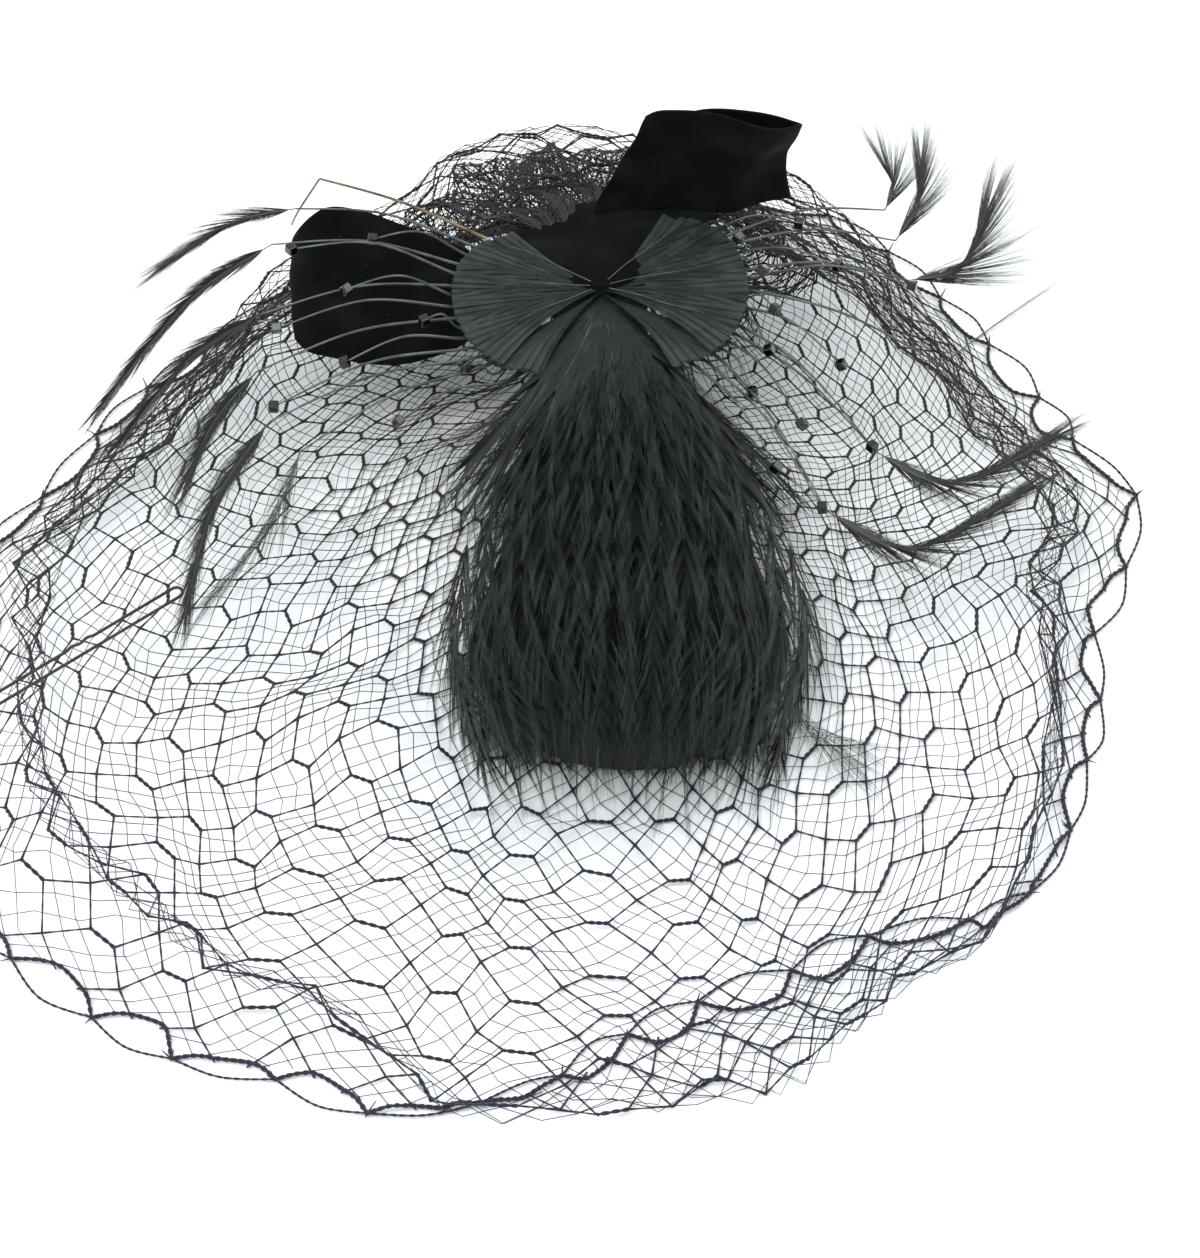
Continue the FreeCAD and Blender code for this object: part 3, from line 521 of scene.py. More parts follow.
# ---------------------------------------------------------------- dome of the pad
FEATHER_FILL = 7.0       # how far feathers stand out over the pad's widest place
FEATHER_SKIN = 11        # mean layer of the feathers, over the inside of the base
# How far the pad's feathers turn outwards at its sides, in degrees, at front and neck.
FLOW_FRONT, FLOW_NECK = -20.0, 22.0
FLOW_EASE = 20           # over how many millimetres the front's turn comes in
RIM_SHARE = 0.985        # where a feather leaves the dome and falls over its rim
PROBE = 0.4              # step that slopes are measured over
RIM_FALL = 3.0           # slope of a feather past the rim


def pad_narrowing(y):
    """How near a place is to the neck: 0 in front of the pad's widest place, 1 at the neck."""
    return min(max((y - WIDE_Y) / (NECK_Y - WIDE_Y), 0.0), 1.0)


def pad_radius(y, offset):
    """Half width of a layer of feathers, which fill out the pad's shoulders."""
    plump = FEATHER_FILL * (1 - pad_narrowing(y))
    return WIDE_RADIUS + (NECK_RADIUS - WIDE_RADIUS) * pad_narrowing(y) ** 2 + offset + plump


def past_ends(y):
    """How far a place is in front of the pad's widest place, or behind its neck."""
    return y - min(max(y, WIDE_Y), NECK_Y)


def dome_share(x, y, offset):
    """How far out a place is on the pad, 1 at the rim of the layer at this offset."""
    return math.hypot(x - PAD_X, past_ends(y)) / pad_radius(y, offset)


def dome_height(x, y, offset):
    """Height of a layer of the pad, 0 outside its rim."""
    share = dome_share(x, y, offset)
    return (CROWN_HEIGHT + offset) * math.sqrt(max(1 - share * share, 0.0))


def dome_normal(x, y, offset):
    """Outward direction of a layer of the pad."""
    step = 0.5
    slope_x = dome_height(x + step, y, offset) - dome_height(x - step, y, offset)
    slope_y = dome_height(x, y + step, offset) - dome_height(x, y - step, offset)
    return Vector((-slope_x, -slope_y, 2 * step)).normalized()


def pad_flow(x, y):
    """Direction that feathers point in at a place on the pad."""
    across = min(max((x - PAD_X) / pad_radius(y, FEATHER_SKIN), -1.1), 1.1)
    front = min(max((WIDE_Y - y) / FLOW_EASE, 0.0), 1.0)
    angle = math.radians(across * (FLOW_NECK * pad_narrowing(y) + FLOW_FRONT * front))
    return Vector((math.sin(angle), -math.cos(angle), 0))


def walk_down(x, y, turn, length, offset, floor, steps=9):
    """Points and outward directions of a feather laid on the pad from a root, turned by a
    few degrees from the way its neighbours point.  It drops over the rim towards the
    table."""
    points, normals = [], []
    z = dome_height(x, y, offset)
    step = length / steps
    swing = Matrix.Rotation(math.radians(turn), 3, "Z")
    for _ in range(steps + 1):
        heading = swing @ pad_flow(x, y)
        points.append(Vector((x, y, z)))
        inside = dome_share(x, y, offset) < RIM_SHARE
        outward = Vector((heading.x, heading.y, 0.25)).normalized()
        facing = dome_normal(x, y, offset) if inside else outward
        normals.append((facing + UP * 0.5).normalized())
        ahead = dome_height(x + heading.x * PROBE, y + heading.y * PROBE, offset)
        fall = max((z - ahead) / PROBE, -0.5) if inside else RIM_FALL
        run = step / math.sqrt(1 + fall * fall)
        x += heading.x * run
        y += heading.y * run
        z = max(z - fall * run, floor)
    return points, normals


# ---------------------------------------------------------------- birdcage net
BAR_HALF = 0.15          # half a thick bar, as a share of a mesh column
KNOT = 1.7               # how much a knot thickens its strand


class Net:
    """A net of knotted bars, twisted strands and fine threads on a surface that place(u, v)
    gives, u in columns and v in rows."""

    def __init__(self, place, columns, rows, closed):
        self.place = place
        self.columns = columns
        self.rows = rows
        self.closed = closed

    def bars(self, ply):
        """Short thick bars, one at each whole column and row, of two twisted plies."""
        runs = []
        for j in range(1, self.rows):
            for k in range(self.columns):
                ends = [self.place(k + side * BAR_HALF, j) for side in (-1, 1)]
                points = [ends[0].lerp(ends[1], i / 9) for i in range(10)]
                runs.extend(two_ply(points, ply, 1.5))
        return runs

    def strands(self, thick):
        """Twisted strands from bar to knot to bar, down both sides of every column."""
        runs = []
        for k in range(self.columns):
            for side, column in ((1, k), (-1, k + 1)):
                if column == self.columns and not self.closed:
                    continue
                corners = []
                for j in range(self.rows):
                    corners.append((column + side * BAR_HALF, j))
                    corners.append((k + 0.5, j + 0.5))
                corners.append((column + side * BAR_HALF, self.rows))
                runs.append(self.zigzag(corners, thick, 6))
        return runs

    def zigzag(self, corners, thick, steps):
        """A strand drawn straight from knot to knot, with the bumps of its twist."""
        run = []
        knots = [self.place(*corner) for corner in corners]
        for a, b in zip(knots, knots[1:]):
            for i in range(steps):
                swell = KNOT if i == 0 else (0.75, 1.1)[i % 2]
                run.append((a.lerp(b, i / steps), thick * swell))
        run.append((knots[-1], thick))
        return run

    def fine(self, thick, lines=3):
        """Fine threads that cross between the strands, both ways."""
        runs = []
        for n in range(self.columns * lines):
            if n % lines == 0:
                continue
            for lean in (-1, 1):
                start = n / lines
                count = self.rows * lines
                run = []
                for i in range(count + 1):
                    v = self.rows * i / count
                    u = start + lean * v
                    if self.closed or 0 <= u <= self.columns:
                        waver = 0.05 * math.sin(TURN * (v * lines / 2 + n * 0.37))
                        run.append((self.place(u + waver, v), thick))
                if len(run) > 2:
                    runs.append(run)
        return runs


# One row for each stretch of the veil, from the left round its front, right and back, in
# millimetres: the selvage's place, the fold's place, the fold's height and the height of
# the net half way to it.
VEIL_ROWS = (
    (-163, 10, -149, 8, 20, 6),
    (-171, -42, -150, -38, 21, 5),
    (-160, -88, -141, -78, 20, 4),
    (-145, -117, -128, -103, 19, 3),
    (-103, -148, -95, -132, 17, 3),
    (-55, -166, -50, -155, 13, 3),
    (-12, -167, -16, -172, 7, 3),
    (33, -151, 44, -172, 4, 4),
    (88, -122, 92, -147, 5, 4),
    (126, -105, 125, -108, 8, 3),
    (150, -64, 142, -60, 12, 4),
    (160, -20, 151, -16, 15, 5),
    (168, 36, 152, 30, 17, 7),
    (150, 76, 136, 68, 18, 12),
    (121, 128, 106, 112, 30, 24),
    (80, 166, 68, 148, 40, 36),
    (22, 171, 18, 150, 50, 45),
    (-36, 158, -30, 140, 46, 42),
    (-82, 130, -72, 114, 38, 33),
    (-124, 84, -110, 74, 27, 18),
    (-148, 46, -135, 40, 19, 9),
)
HEADING = BOW + Vector((0, 17, -11))     # where the net is gathered, behind the bow
SELVAGE_Z = 1.1
TUCK = 12.0              # how far the net folds back under its crest
TUCK_HEIGHT = 18         # height of fold that takes the whole tuck
SECTIONS = 400           # places at which the way round the veil is measured
COLUMN_POINTS, ROW_POINTS = 4, 6     # points of the veil's even grid to a mesh
NOISE_SEED = 19          # fixes the noise that drift reads
PLEAT_COLUMNS, PLEAT_DEPTH = 2.5, 5  # the veil's pleats at its heading
EDGE_SHARE = 0.07        # share of the veil's rows that settle onto the table
THREAD_FLOOR = 0.9       # lowest thread of the net
PAD_SHADOW = 20          # offset of the pad's outline that presses the net down
PRESSED = 1.2            # height of the net under the pad


def veil_section(place):
    """Points of the net's way from the heading to the selvage at one place of the edge."""
    sx, sy, fx, fy, fold_z, mid_z = catmull(VEIL_ROWS, place, closed=True)
    fold = Vector((fx, fy, fold_z))
    selvage = Vector((sx, sy, SELVAGE_Z))
    out = Vector((fx - HEADING.x, fy - HEADING.y, 0))
    reach = out.length
    out.normalize()
    steep = min(max(-1.6 * out.y - 0.35, 0.0), 1.0)

    def stage(distance, height):
        point = HEADING + out * distance
        point.z = height
        return point

    tuck = fold - out * TUCK * min(fold_z / TUCK_HEIGHT, 1.0)
    tuck.z = fold_z * 0.62
    dip = tuck.lerp(selvage, 0.45)
    dip.z = fold_z * 0.3
    return [
        HEADING + Vector((out.x * 12, out.y * 5, 0)),
        stage(20 - 12 * steep, 35 - 12 * steep),
        stage(44 - 26 * steep, max(mid_z + 7, 12) * (1 - steep) + 3 * steep),
        stage(0.56 * reach, mid_z),
        stage(0.86 * reach, 0.75 * fold_z + 0.25 * mid_z),
        fold, tuck, dip, selvage,
    ]


def veil_table(columns, rows):
    """Points of the veil's surface on a grid that is even half way between its fold and
    its selvage."""
    fine = [veil_section(i * len(VEIL_ROWS) / SECTIONS) for i in range(SECTIONS)]
    reach = [0.0]
    for a, b in zip(fine, fine[1:] + fine[:1]):
        reach.append(reach[-1] + ((a[-1] + a[-4]) / 2 - (b[-1] + b[-4]) / 2).length)
    table, k = [], 0
    for i in range(columns * COLUMN_POINTS):
        want = reach[-1] * i / (columns * COLUMN_POINTS)
        while reach[k + 1] < want:
            k += 1
        part = (want - reach[k]) / (reach[k + 1] - reach[k])
        section = veil_section((k + part) * len(VEIL_ROWS) / SECTIONS)
        table.append(smooth_path(section, rows * ROW_POINTS))
    return table


def drift(point, size, amount, seed):
    """Smooth random shift of a point."""
    return noise.noise_vector(point / size + Vector((seed, 0, 0))) * amount


def veil_place(table, rows):
    """place(u, v) of the veil: the even surface, pleated at the heading, with the slack and
    unevenness of laid net, under the pad and never below the table."""
    count = len(table)

    def place(u, v):
        row = min(max(v * ROW_POINTS, 0), rows * ROW_POINTS - 1e-6)
        j = int(row)
        column = (u * COLUMN_POINTS) % count
        i = int(column)
        a, b = table[i], table[(i + 1) % count]
        near = a[j].lerp(a[j + 1], row - j)
        far = b[j].lerp(b[j + 1], row - j)
        point = near.lerp(far, column - i)
        share = v / rows
        loose = min(share * 4, 1.0)
        pleat = math.sin(TURN * u / PLEAT_COLUMNS) * math.exp(-share * 5) * PLEAT_DEPTH
        point = point + drift(point, 55, 9 * loose, 3) + drift(point, 16, 3.2 * loose, 11)
        if share > 1 - EDGE_SHARE:
            settled = (share - 1 + EDGE_SHARE) / EDGE_SHARE
            point.z = point.z * (1 - settled) + SELVAGE_Z * settled
        point.z = max(point.z + pleat, THREAD_FLOOR)
        if point.y < NECK_Y + 20 and dome_share(point.x, point.y, PAD_SHADOW) < 1:
            point.z = min(point.z, PRESSED)
        return point
    return place


# Distance from the heading's middle, and height, along the gathered net's way out and back.
HEADING_ROUTE = ((12, 43), (28, 47), (48, 43), (66, 34), (60, 26), (44, 24))
HEADING_START, HEADING_TURN = 8, 150     # degrees
HEADING_MESH = (46, 10)                  # columns and rows


def heading_place(columns, rows):
    """place(u, v) of the gathered heading: a pleated roll behind the bow."""
    def place(u, v):
        angle = math.radians(HEADING_START + HEADING_TURN * u / columns)
        reach, height = catmull(HEADING_ROUTE, (len(HEADING_ROUTE) - 1) * v / rows)
        wave = math.sin(TURN * u / 3.1) * 1.6 + math.sin(TURN * u / 7.3 + 1) * 2
        out = Vector((math.cos(angle), math.sin(angle), 0))
        point = HEADING + out * reach
        point.z = height + wave * min(v / rows * 3, 1)
        return point + drift(point, 26, 7, 29) + drift(point, 9, 2, 31)
    return place


class FASCINATOR_OT_veil(bpy.types.Operator):
    """Birdcage veil: bars, strands and fine threads of one piece of net"""
    bl_idname = "fascinator.veil"
    bl_label = "Veil"

    def execute(self, context):
        s = settings()
        table = veil_table(s.net_columns, s.net_rows)
        net = Net(veil_place(table, s.net_rows), s.net_columns, s.net_rows, True)
        material = bpy.data.materials["net_silk_twisted"]
        finish_piece("veil_bars", tube_mesh(net.bars(s.bar_thickness / MM)), material,
                     "net")
        finish_piece("veil_strands", tube_mesh(net.strands(s.strand_thickness / MM)),
                     material, "net", "veil_net")
        finish_piece("veil_fine_threads", tube_mesh(net.fine(s.fine_thickness / MM)),
                     material, "net")
        return {"FINISHED"}


KNOT_BEYOND = 4          # how far the selvage's knots stand past the last bars
ARCH_PLY, OUTER_PLY = 0.42, 0.24     # radius of one ply of its two cords


class FASCINATOR_OT_selvage(bpy.types.Operator):
    """Selvage: a bold scalloped cord, its outer thread, knots and cut ends"""
    bl_idname = "fascinator.selvage"
    bl_label = "Selvage"

    def execute(self, context):
        s = settings()
        rows = s.net_rows
        place = veil_place(veil_table(s.net_columns, rows), rows)
        rng = random.Random(71)
        runs = []

        def knot(column):
            end = place(column, rows)
            end += (end - place(column, rows - 1)).normalized() * KNOT_BEYOND
            end.z = SELVAGE_Z
            return end

        for k in range(s.net_columns):
            knots = [knot((k + side) % s.net_columns) for side in (-0.5, 0.5)]
            beyond = (place(k, rows) - place(k, rows - 1)).normalized()
            arch = [knots[0], knots[0].lerp(place(k - BAR_HALF, rows), 0.5) - beyond * 1.5,
                    place(k - BAR_HALF, rows - 0.09),
                    place(k + BAR_HALF, rows - 0.09),
                    place(k + BAR_HALF, rows).lerp(knots[1], 0.5) - beyond * 1.5, knots[1]]
            runs.extend(two_ply(smooth_path(arch, 26), ARCH_PLY, 7))
            sag = (knots[0] + knots[1]) / 2 + beyond * rng.uniform(2.5, 4.5)
            sag.z = SELVAGE_Z
            outer = smooth_path([knots[0], sag, knots[1]], 20)
            runs.extend(two_ply(outer, OUTER_PLY, 6))
            for _ in range(2):
                tail = knots[1] + Vector((rng.uniform(-3, 3), rng.uniform(-3, 3),
                                          rng.uniform(0.2, 2.5)))
                runs.append(tapered([knots[1], tail], 0.3, 0.14))
            runs.append([(knots[1] + Vector((0, 0, z)), 0.8 - abs(z)) for z in (-0.4, 0, 0.4)])
        finish_piece("veil_edge_cord", tube_mesh(runs), bpy.data.materials["net_silk_twisted"],
                     "net", "veil_selvage")
        return {"FINISHED"}


class FASCINATOR_OT_heading(bpy.types.Operator):
    """Gathered heading of the net behind the bow"""
    bl_idname = "fascinator.heading"
    bl_label = "Gathered heading"

    def execute(self, context):
        s = settings()
        net = Net(heading_place(*HEADING_MESH), *HEADING_MESH, False)
        runs = net.strands(s.strand_thickness / MM) + net.fine(s.fine_thickness / MM)
        finish_piece("veil_heading", tube_mesh(runs),
                     bpy.data.materials["net_silk_twisted"], "net", "veil_gathers")
        return {"FINISHED"}


# ---------------------------------------------------------------- feathers of the pad
PAD_ROOT_ROWS = (-38, -27, -12, 7, 33, 56, 72)     # from the front to the back
PAD_ROW_FEATHERS = 16
PAD_SPREAD = 0.93        # share of the pad's half width that its roots reach
PAD_LIFT = 9.6           # first layer of feathers, over the inside of the base
LAYER_STEP = 0.8
ROOT_DIP = 1.5           # roots lie this much under the layer's own surface


class FASCINATOR_OT_pad(bpy.types.Operator):
    """Overlapping body feathers of the pad, from its front rim up to the neck"""
    bl_idname = "fascinator.pad"
    bl_label = "Feather pad"

    def execute(self, context):
        rng = random.Random(5)
        # The pad's vanes carry painted sheen: lighter barb tips and streaks in place of caught
        # light.
        vane = vane_material("hen_feather_dyed_painted_sheen", settings().feather_colour,
                             settings().feather_painted_sheen_colour, 0.5, 9)
        shaft = mottled_material("feather_shaft_keratin", ("#1d2324", "#565e5c"), 5, 0.4,
                                 0.02, Roughness=0.35, IOR=1.54)
        bm, uv = new_vanes()
        shafts = []
        for layer, row in enumerate(PAD_ROOT_ROWS):
            order = list(range(PAD_ROW_FEATHERS))
            rng.shuffle(order)
            for turn, n in enumerate(order):     # later ones lie over earlier ones
                across = PAD_SPREAD * (2 * n / (PAD_ROW_FEATHERS - 1) - 1)
                lift = PAD_LIFT + LAYER_STEP * layer + 0.6 * turn / PAD_ROW_FEATHERS
                y = row + rng.uniform(-4, 4) + 5 * across * across
                half = math.sqrt(pad_radius(y, lift - ROOT_DIP) ** 2 - past_ends(y) ** 2)
                x = PAD_X + across * half
                spine, normals = walk_down(x, y, rng.uniform(-3, 3), rng.uniform(37, 44),
                                           lift, 2.8 + 0.4 * layer + rng.uniform(0, 0.6), 11)
                last = len(spine) - 1
                spine = [p + m * 0.5 * (i / last) ** 2
                         for i, (p, m) in enumerate(zip(spine, normals))]
                add_feather(bm, uv, spine, normals, rng.uniform(12, 14),
                            settings().pad_barbs, rng, sweep=(15, 7), split=1.8,
                            ragged=0.18, base=0.7, tip=0.5, camber=0.7, cover=3.0,
                            point_share=0.6)
                if rng.random() < 0.3:
                    shafts.append(shaft_run(spine[3:], normals[3:], 0.22, 0.09))
        finish_piece("pad_feathers", bm, vane, "pad_feather",
                     *["feather_row_%d" % (k + 1) for k in range(6)])
        finish_piece("pad_feather_shafts", tube_mesh(shafts), shaft, "pad_feather")
        return {"FINISHED"}


FRINGE_TUFTS = 34
# Root and tip of the two thin feathers that stand out at the pad's right.
WISPS = (((62, -47, 17), (88, -58, 7)), ((64, -44, 16), (86, -63, 6)))


class FASCINATOR_OT_fringe(bpy.types.Operator):
    """Hair-like loose barbs along the pad's front rim and the wisp at its right"""
    bl_idname = "fascinator.fringe"
    bl_label = "Fringe"

    def execute(self, context):
        rng = random.Random(17)
        bm, uv = new_vanes()
        for n in range(FRINGE_TUFTS):
            across = -0.86 + 1.72 * (n + rng.uniform(0, 0.9)) / FRINGE_TUFTS
            x = PAD_X + across * (WIDE_RADIUS + FEATHER_SKIN)
            y = WIDE_Y - math.sqrt(1 - across * across) * (WIDE_RADIUS + FEATHER_SKIN)
            spine, normals = walk_down(x, y + rng.uniform(9, 15), rng.uniform(-8, 8),
                                       rng.uniform(16, 22), 11.5, rng.uniform(2.8, 5.0))
            add_feather(bm, uv, spine, normals, rng.uniform(4, 6), 30, rng, sweep=(20, 9),
                        base=0.7, tip=0.6, cover=0.9, split=10, ragged=0.45)
        for start, end in WISPS:
            sag = (Vector(start) + Vector(end)) / 2 + Vector((0, -2, -2))
            path = smooth_path([Vector(start), sag, Vector(end)], 8)
            add_feather(bm, uv, path, [UP] * len(path), 7, 26, rng, sweep=(26, 14),
                        base=0.5, tip=0.8, cover=0.45, split=10, ragged=0.5)
        finish_piece("pad_fringe", bm, bpy.data.materials["hen_feather_dyed_painted_sheen"],
                     "pad_feather")
        return {"FINISHED"}


# Turn from the front, in degrees, and length of each feather over the pad's neck.
NECK_SPREAD = ((-46, 64), (52, 74), (-38, 68), (45, 77), (-29, 72), (36, 78), (-20, 74),
               (27, 78), (-10, 72), (17, 76), (2, 72), (-35, 54), (41, 60), (-24, 58),
               (31, 64), (-13, 60), (21, 64), (8, 62))
NECK_STEPS = 12
TAB_HALF = 17            # half width of the tab, with room for a vane's bend
LOWEST_TIP = 3
STRAY = ((-1, 45, 47), (-12, 35, 45), (-25, 28, 41))     # the loose feather's spine


class FASCINATOR_OT_neck(bpy.types.Operator):
    """Feathers that fan from the bow over the top of the pad, and the stray one"""
    bl_idname = "fascinator.neck"
    bl_label = "Neck feathers"

    def execute(self, context):
        rng = random.Random(23)
        bm, uv = new_vanes()
        shafts = []
        for n, (degrees, length) in enumerate(NECK_SPREAD):
            layer = len(NECK_SPREAD) - n
            path, facing = [], []
            point = BOW + Vector((1, 3, -1.3 - 0.08 * layer))
            top = point.z
            for i in range(NECK_STEPS + 1):
                angle = math.radians(degrees * (0.5 + 0.75 * i / NECK_STEPS))
                course = Vector((math.sin(angle), -math.cos(angle), 0))
                ground = dome_height(point.x, point.y, 14 + 0.25 * n)
                over_tab = abs(point.x - BOW.x) < TAB_HALF and point.y > TAB_FRONT - 2
                rest = max(ground, TAB_TOP + 0.5 + 0.12 * n if over_tab else LOWEST_TIP)
                point.z = max(top - 0.3 * i - 0.13 * i * i, rest)
                path.append(point.copy())
                facing.append((UP + course * 0.06 * i).normalized())
                point += course * length / NECK_STEPS
            add_feather(bm, uv, path, facing, rng.uniform(9.0, 10.5), 120, rng,
                        sweep=(22, 9), base=0.45, tip=0.6, split=2.0, camber=2.0,
                        ragged=0.16, cover=2.6, point_share=0.6)
            if n % 4 == 1:
                shafts.append(shaft_run(path[3:], facing[3:], 0.24, 0.09))
        finish_piece("neck_cover_feathers", bm, bpy.data.materials["hen_feather_dyed_painted_sheen"],
                     "pad_feather", "neck_feathers")
        finish_piece("neck_feather_shafts", tube_mesh(shafts),
                     bpy.data.materials["feather_shaft_keratin"], "pad_feather")
        bm, uv = new_vanes()
        path = smooth_path(STRAY, 9)
        add_feather(bm, uv, path, [UP] * len(path), 7, 40, rng, sweep=(46, 16), base=0.7,
                    tip=0.3, cover=0.6, split=12, ragged=0.3)
        finish_piece("stray_neck_feather", bm, bpy.data.materials["hackle_barbs"], "plume",
                     "stray_feather")
        return {"FINISHED"}


# ---------------------------------------------------------------- trimmed fans
FAN_RADIUS = 43.5
FANS = {"left": (236, 146), "right": (-48, 50)}     # angles from the front round to the back
FAN_FEATHERS = 6
FAN_RISE = 0.10          # slope of both fans towards the back


def fan_surface(reach, angle, lift):
    """Point of a fan at a distance and an angle from the bow's middle."""
    x, y = reach * math.cos(angle), reach * math.sin(angle)
    crown = 2.6 * math.sin(math.pi * min(reach / FAN_RADIUS, 1) * 0.8)
    return BOW + Vector((x, y, FAN_RISE * y + crown + lift))


def fan_rim(share):
    """Radius that a fan is trimmed to, from its front edge to its back edge."""
    across = 2 * share - 1
    return FAN_RADIUS * (1 - 0.05 * across ** 2 - 0.17 * max(across, 0) ** 4
                         - 0.10 * max(-across, 0) ** 6)


class FASCINATOR_OT_fans(bpy.types.Operator):
    """Two fans of feathers trimmed to a round edge, which meet in the bow's middle"""
    bl_idname = "fascinator.fans"
    bl_label = "Feather fans"

    def execute(self, context):
        rng = random.Random(41)
        # The fans' vanes carry painted sheen: lighter barb tips and streaks in place of caught
        # light.
        vane = vane_material("feather_fan_trimmed_painted_sheen", settings().fan_colour,
                             settings().fan_painted_sheen_colour, 0.5, 7, 90.0)
        for name, (front, back) in FANS.items():
            bm, uv = new_vanes()
            shafts = []
            step = math.radians(back - front) / FAN_FEATHERS
            for n in range(FAN_FEATHERS):
                centre = math.radians(front) + step * (n + 0.5)
                lift = 0.35 * ((n * 5) % FAN_FEATHERS) - 0.6
                for side in (-1, 1):
                    self.half_vane(bm, uv, centre, abs(step) * 0.85 * side, step,
                                   math.radians(front), lift, rng)
                if n % 2:
                    shaft = [fan_surface(3 + 30 * i / 8, centre + 0.02 * math.sin(i), 2.0)
                             for i in range(9)]
                    shafts.append(tapered(shaft, 0.22, 0.08))
            finish_piece("%s_feather_fan" % name, bm, vane, "fan_feather",
                         "%s_fan" % name)
            finish_piece("%s_fan_shafts" % name, tube_mesh(shafts),
                         bpy.data.materials["feather_shaft_keratin"], "fan_feather")
        return {"FINISHED"}

    @staticmethod
    def half_vane(bm, uv, centre, half_angle, step, front, lift, rng):
        """One side of a trimmed feather: barbs that leave its shaft and end on the rim."""
        barbs = settings().fan_barbs
        swings = [rng.uniform(-0.012, 0.012) for _ in range(barbs)]
        rims = [rng.uniform(-0.5, 0.35) for _ in range(barbs)]

        def place(barb, edge, share):
            k = min(round(barb * (barbs - 1)), barbs - 1)
            start = 0.6 + 37 * barb
            end_angle = centre + half_angle * (1 - barb) + swings[k]
            part = (end_angle - front) / (step * FAN_FEATHERS)
            rim = fan_rim(min(max(part, 0), 1)) + rims[k]
            reach = start + (rim - start) * share
            angle = centre + (end_angle - centre) * share ** 0.75
            half = reach * abs(half_angle) / barbs * 1.5 + 0.24
            wave = 0.5 * math.sin(barb * 22 + centre * 9) * share
            side = 1 if half_angle > 0 else -1
            return fan_surface(reach, angle - side * edge * half / max(reach, 1),
                               lift + wave - 0.6 * share * (1 - barb))

        barb_grid(bm, uv, barbs, place, half_angle < 0)


# ---------------------------------------------------------------- velvet bow
# Both edges of each stretch of ribbon, from the bow outwards, in millimetres.
LEFT_LOOP = (
    ((-12, 92, 48), (-28, 97, 52), (-43, 102, 55), (-55, 105, 58), (-67, 107, 57),
     (-77, 107, 46), (-72, 108, 39), (-52, 106, 38), (-26, 98, 42)),
    ((-14, 82, 46), (-24, 72, 38), (-38, 69, 32), (-56, 71, 29.5), (-71, 74, 30),
     (-77, 79, 32), (-71, 80, 27.5), (-52, 76, 26.5), (-26, 76, 34)),
)
RIGHT_LOOP = (
    ((13, 114, 50), (24, 113, 54), (38, 112, 54), (52, 112, 52), (64, 117, 50),
     (72, 121, 49), (66, 124, 50), (48, 122, 51), (28, 120, 50)),
    ((28, 112, 88), (34, 111, 91), (50, 109, 91), (66, 108, 88), (73, 112, 86),
     (73, 116, 83), (62, 119, 84), (46, 119, 84), (32, 118, 80)),
)
SWAG = (
    ((-13, 98, 50), (-9, 111, 49), (2, 117, 49), (15, 118.5, 51), (27, 116, 53),
     (39, 113, 54), (52, 110, 53)),
    ((-8, 87, 52.6), (-1, 82, 53), (8, 78.5, 53.3), (15, 76.5, 53.4), (23, 79, 53.3),
     (32, 86, 53), (44, 98, 53)),
)


def ribbon_piece(name, edges, bulge, wrinkle, seed, node):
    """A band of velvet between two edge lines, with slack and its own thickness."""
    along, across = 72, 14
    bm = bmesh.new()
    verts = bmesh.ops.create_grid(bm, x_segments=along, y_segments=across,
                                  size=1.0)["verts"]
    last = len(edges[0]) - 1
    for vert in verts:
        s, t = (vert.co.x + 1) / 2, (vert.co.y + 1) / 2
        a, b = (Vector(catmull(edge, s * last)) for edge in edges)
        ahead = Vector(catmull(edges[0], min(s * last + 0.05, last))) - Vector(
            catmull(edges[0], max(s * last - 0.05, 0)))
        normal = ahead.cross(b - a).normalized()
        point = a.lerp(b, t)
        crown = bulge * math.sin(math.pi * t)
        pinch = wrinkle * math.sin(TURN * (2.5 * t + 0.3)) * (1 - s) ** 2
        vert.co = point + normal * (crown + pinch) + drift(point, 26, 2.4, seed)
    bmesh.ops.recalc_face_normals(bm, faces=bm.faces)
    piece = finish_piece(name, bm, bpy.data.materials["silk_velvet_woven"], "velvet", node)
    wall = piece.modifiers.new("backing", "SOLIDIFY")
    wall.thickness = settings().ribbon_thickness
    wall.offset = 0
    rounding = piece.modifiers.new("turned edge", "BEVEL")
    rounding.width = 0.25 * MM
    rounding.segments = 2
    length = sum((Vector(b) - Vector(a)).length for edge in edges
                 for a, b in zip(edge, edge[1:])) / 2 * MM
    return piece, length


class FASCINATOR_OT_bow(bpy.types.Operator):
    """Velvet bow: a low loop at the left, a swag in the middle, a standing loop at the right"""
    bl_idname = "fascinator.bow"
    bl_label = "Velvet bow"

    def execute(self, context):
        velvet_material()
        for name, edges, bulge, wrinkle, seed, node in (
                ("velvet_left_loop", LEFT_LOOP, 1.5, 1.6, 51, "ribbon_left_loop"),
                ("velvet_centre_swag", SWAG, -0.8, 0.8, 52, "ribbon_centre_swag"),
                ("velvet_right_loop", RIGHT_LOOP, -1.5, 1.0, 53, "ribbon_right_loop")):
            piece, length = ribbon_piece(name, edges, bulge, wrinkle, seed, node)
        return {"FINISHED"}


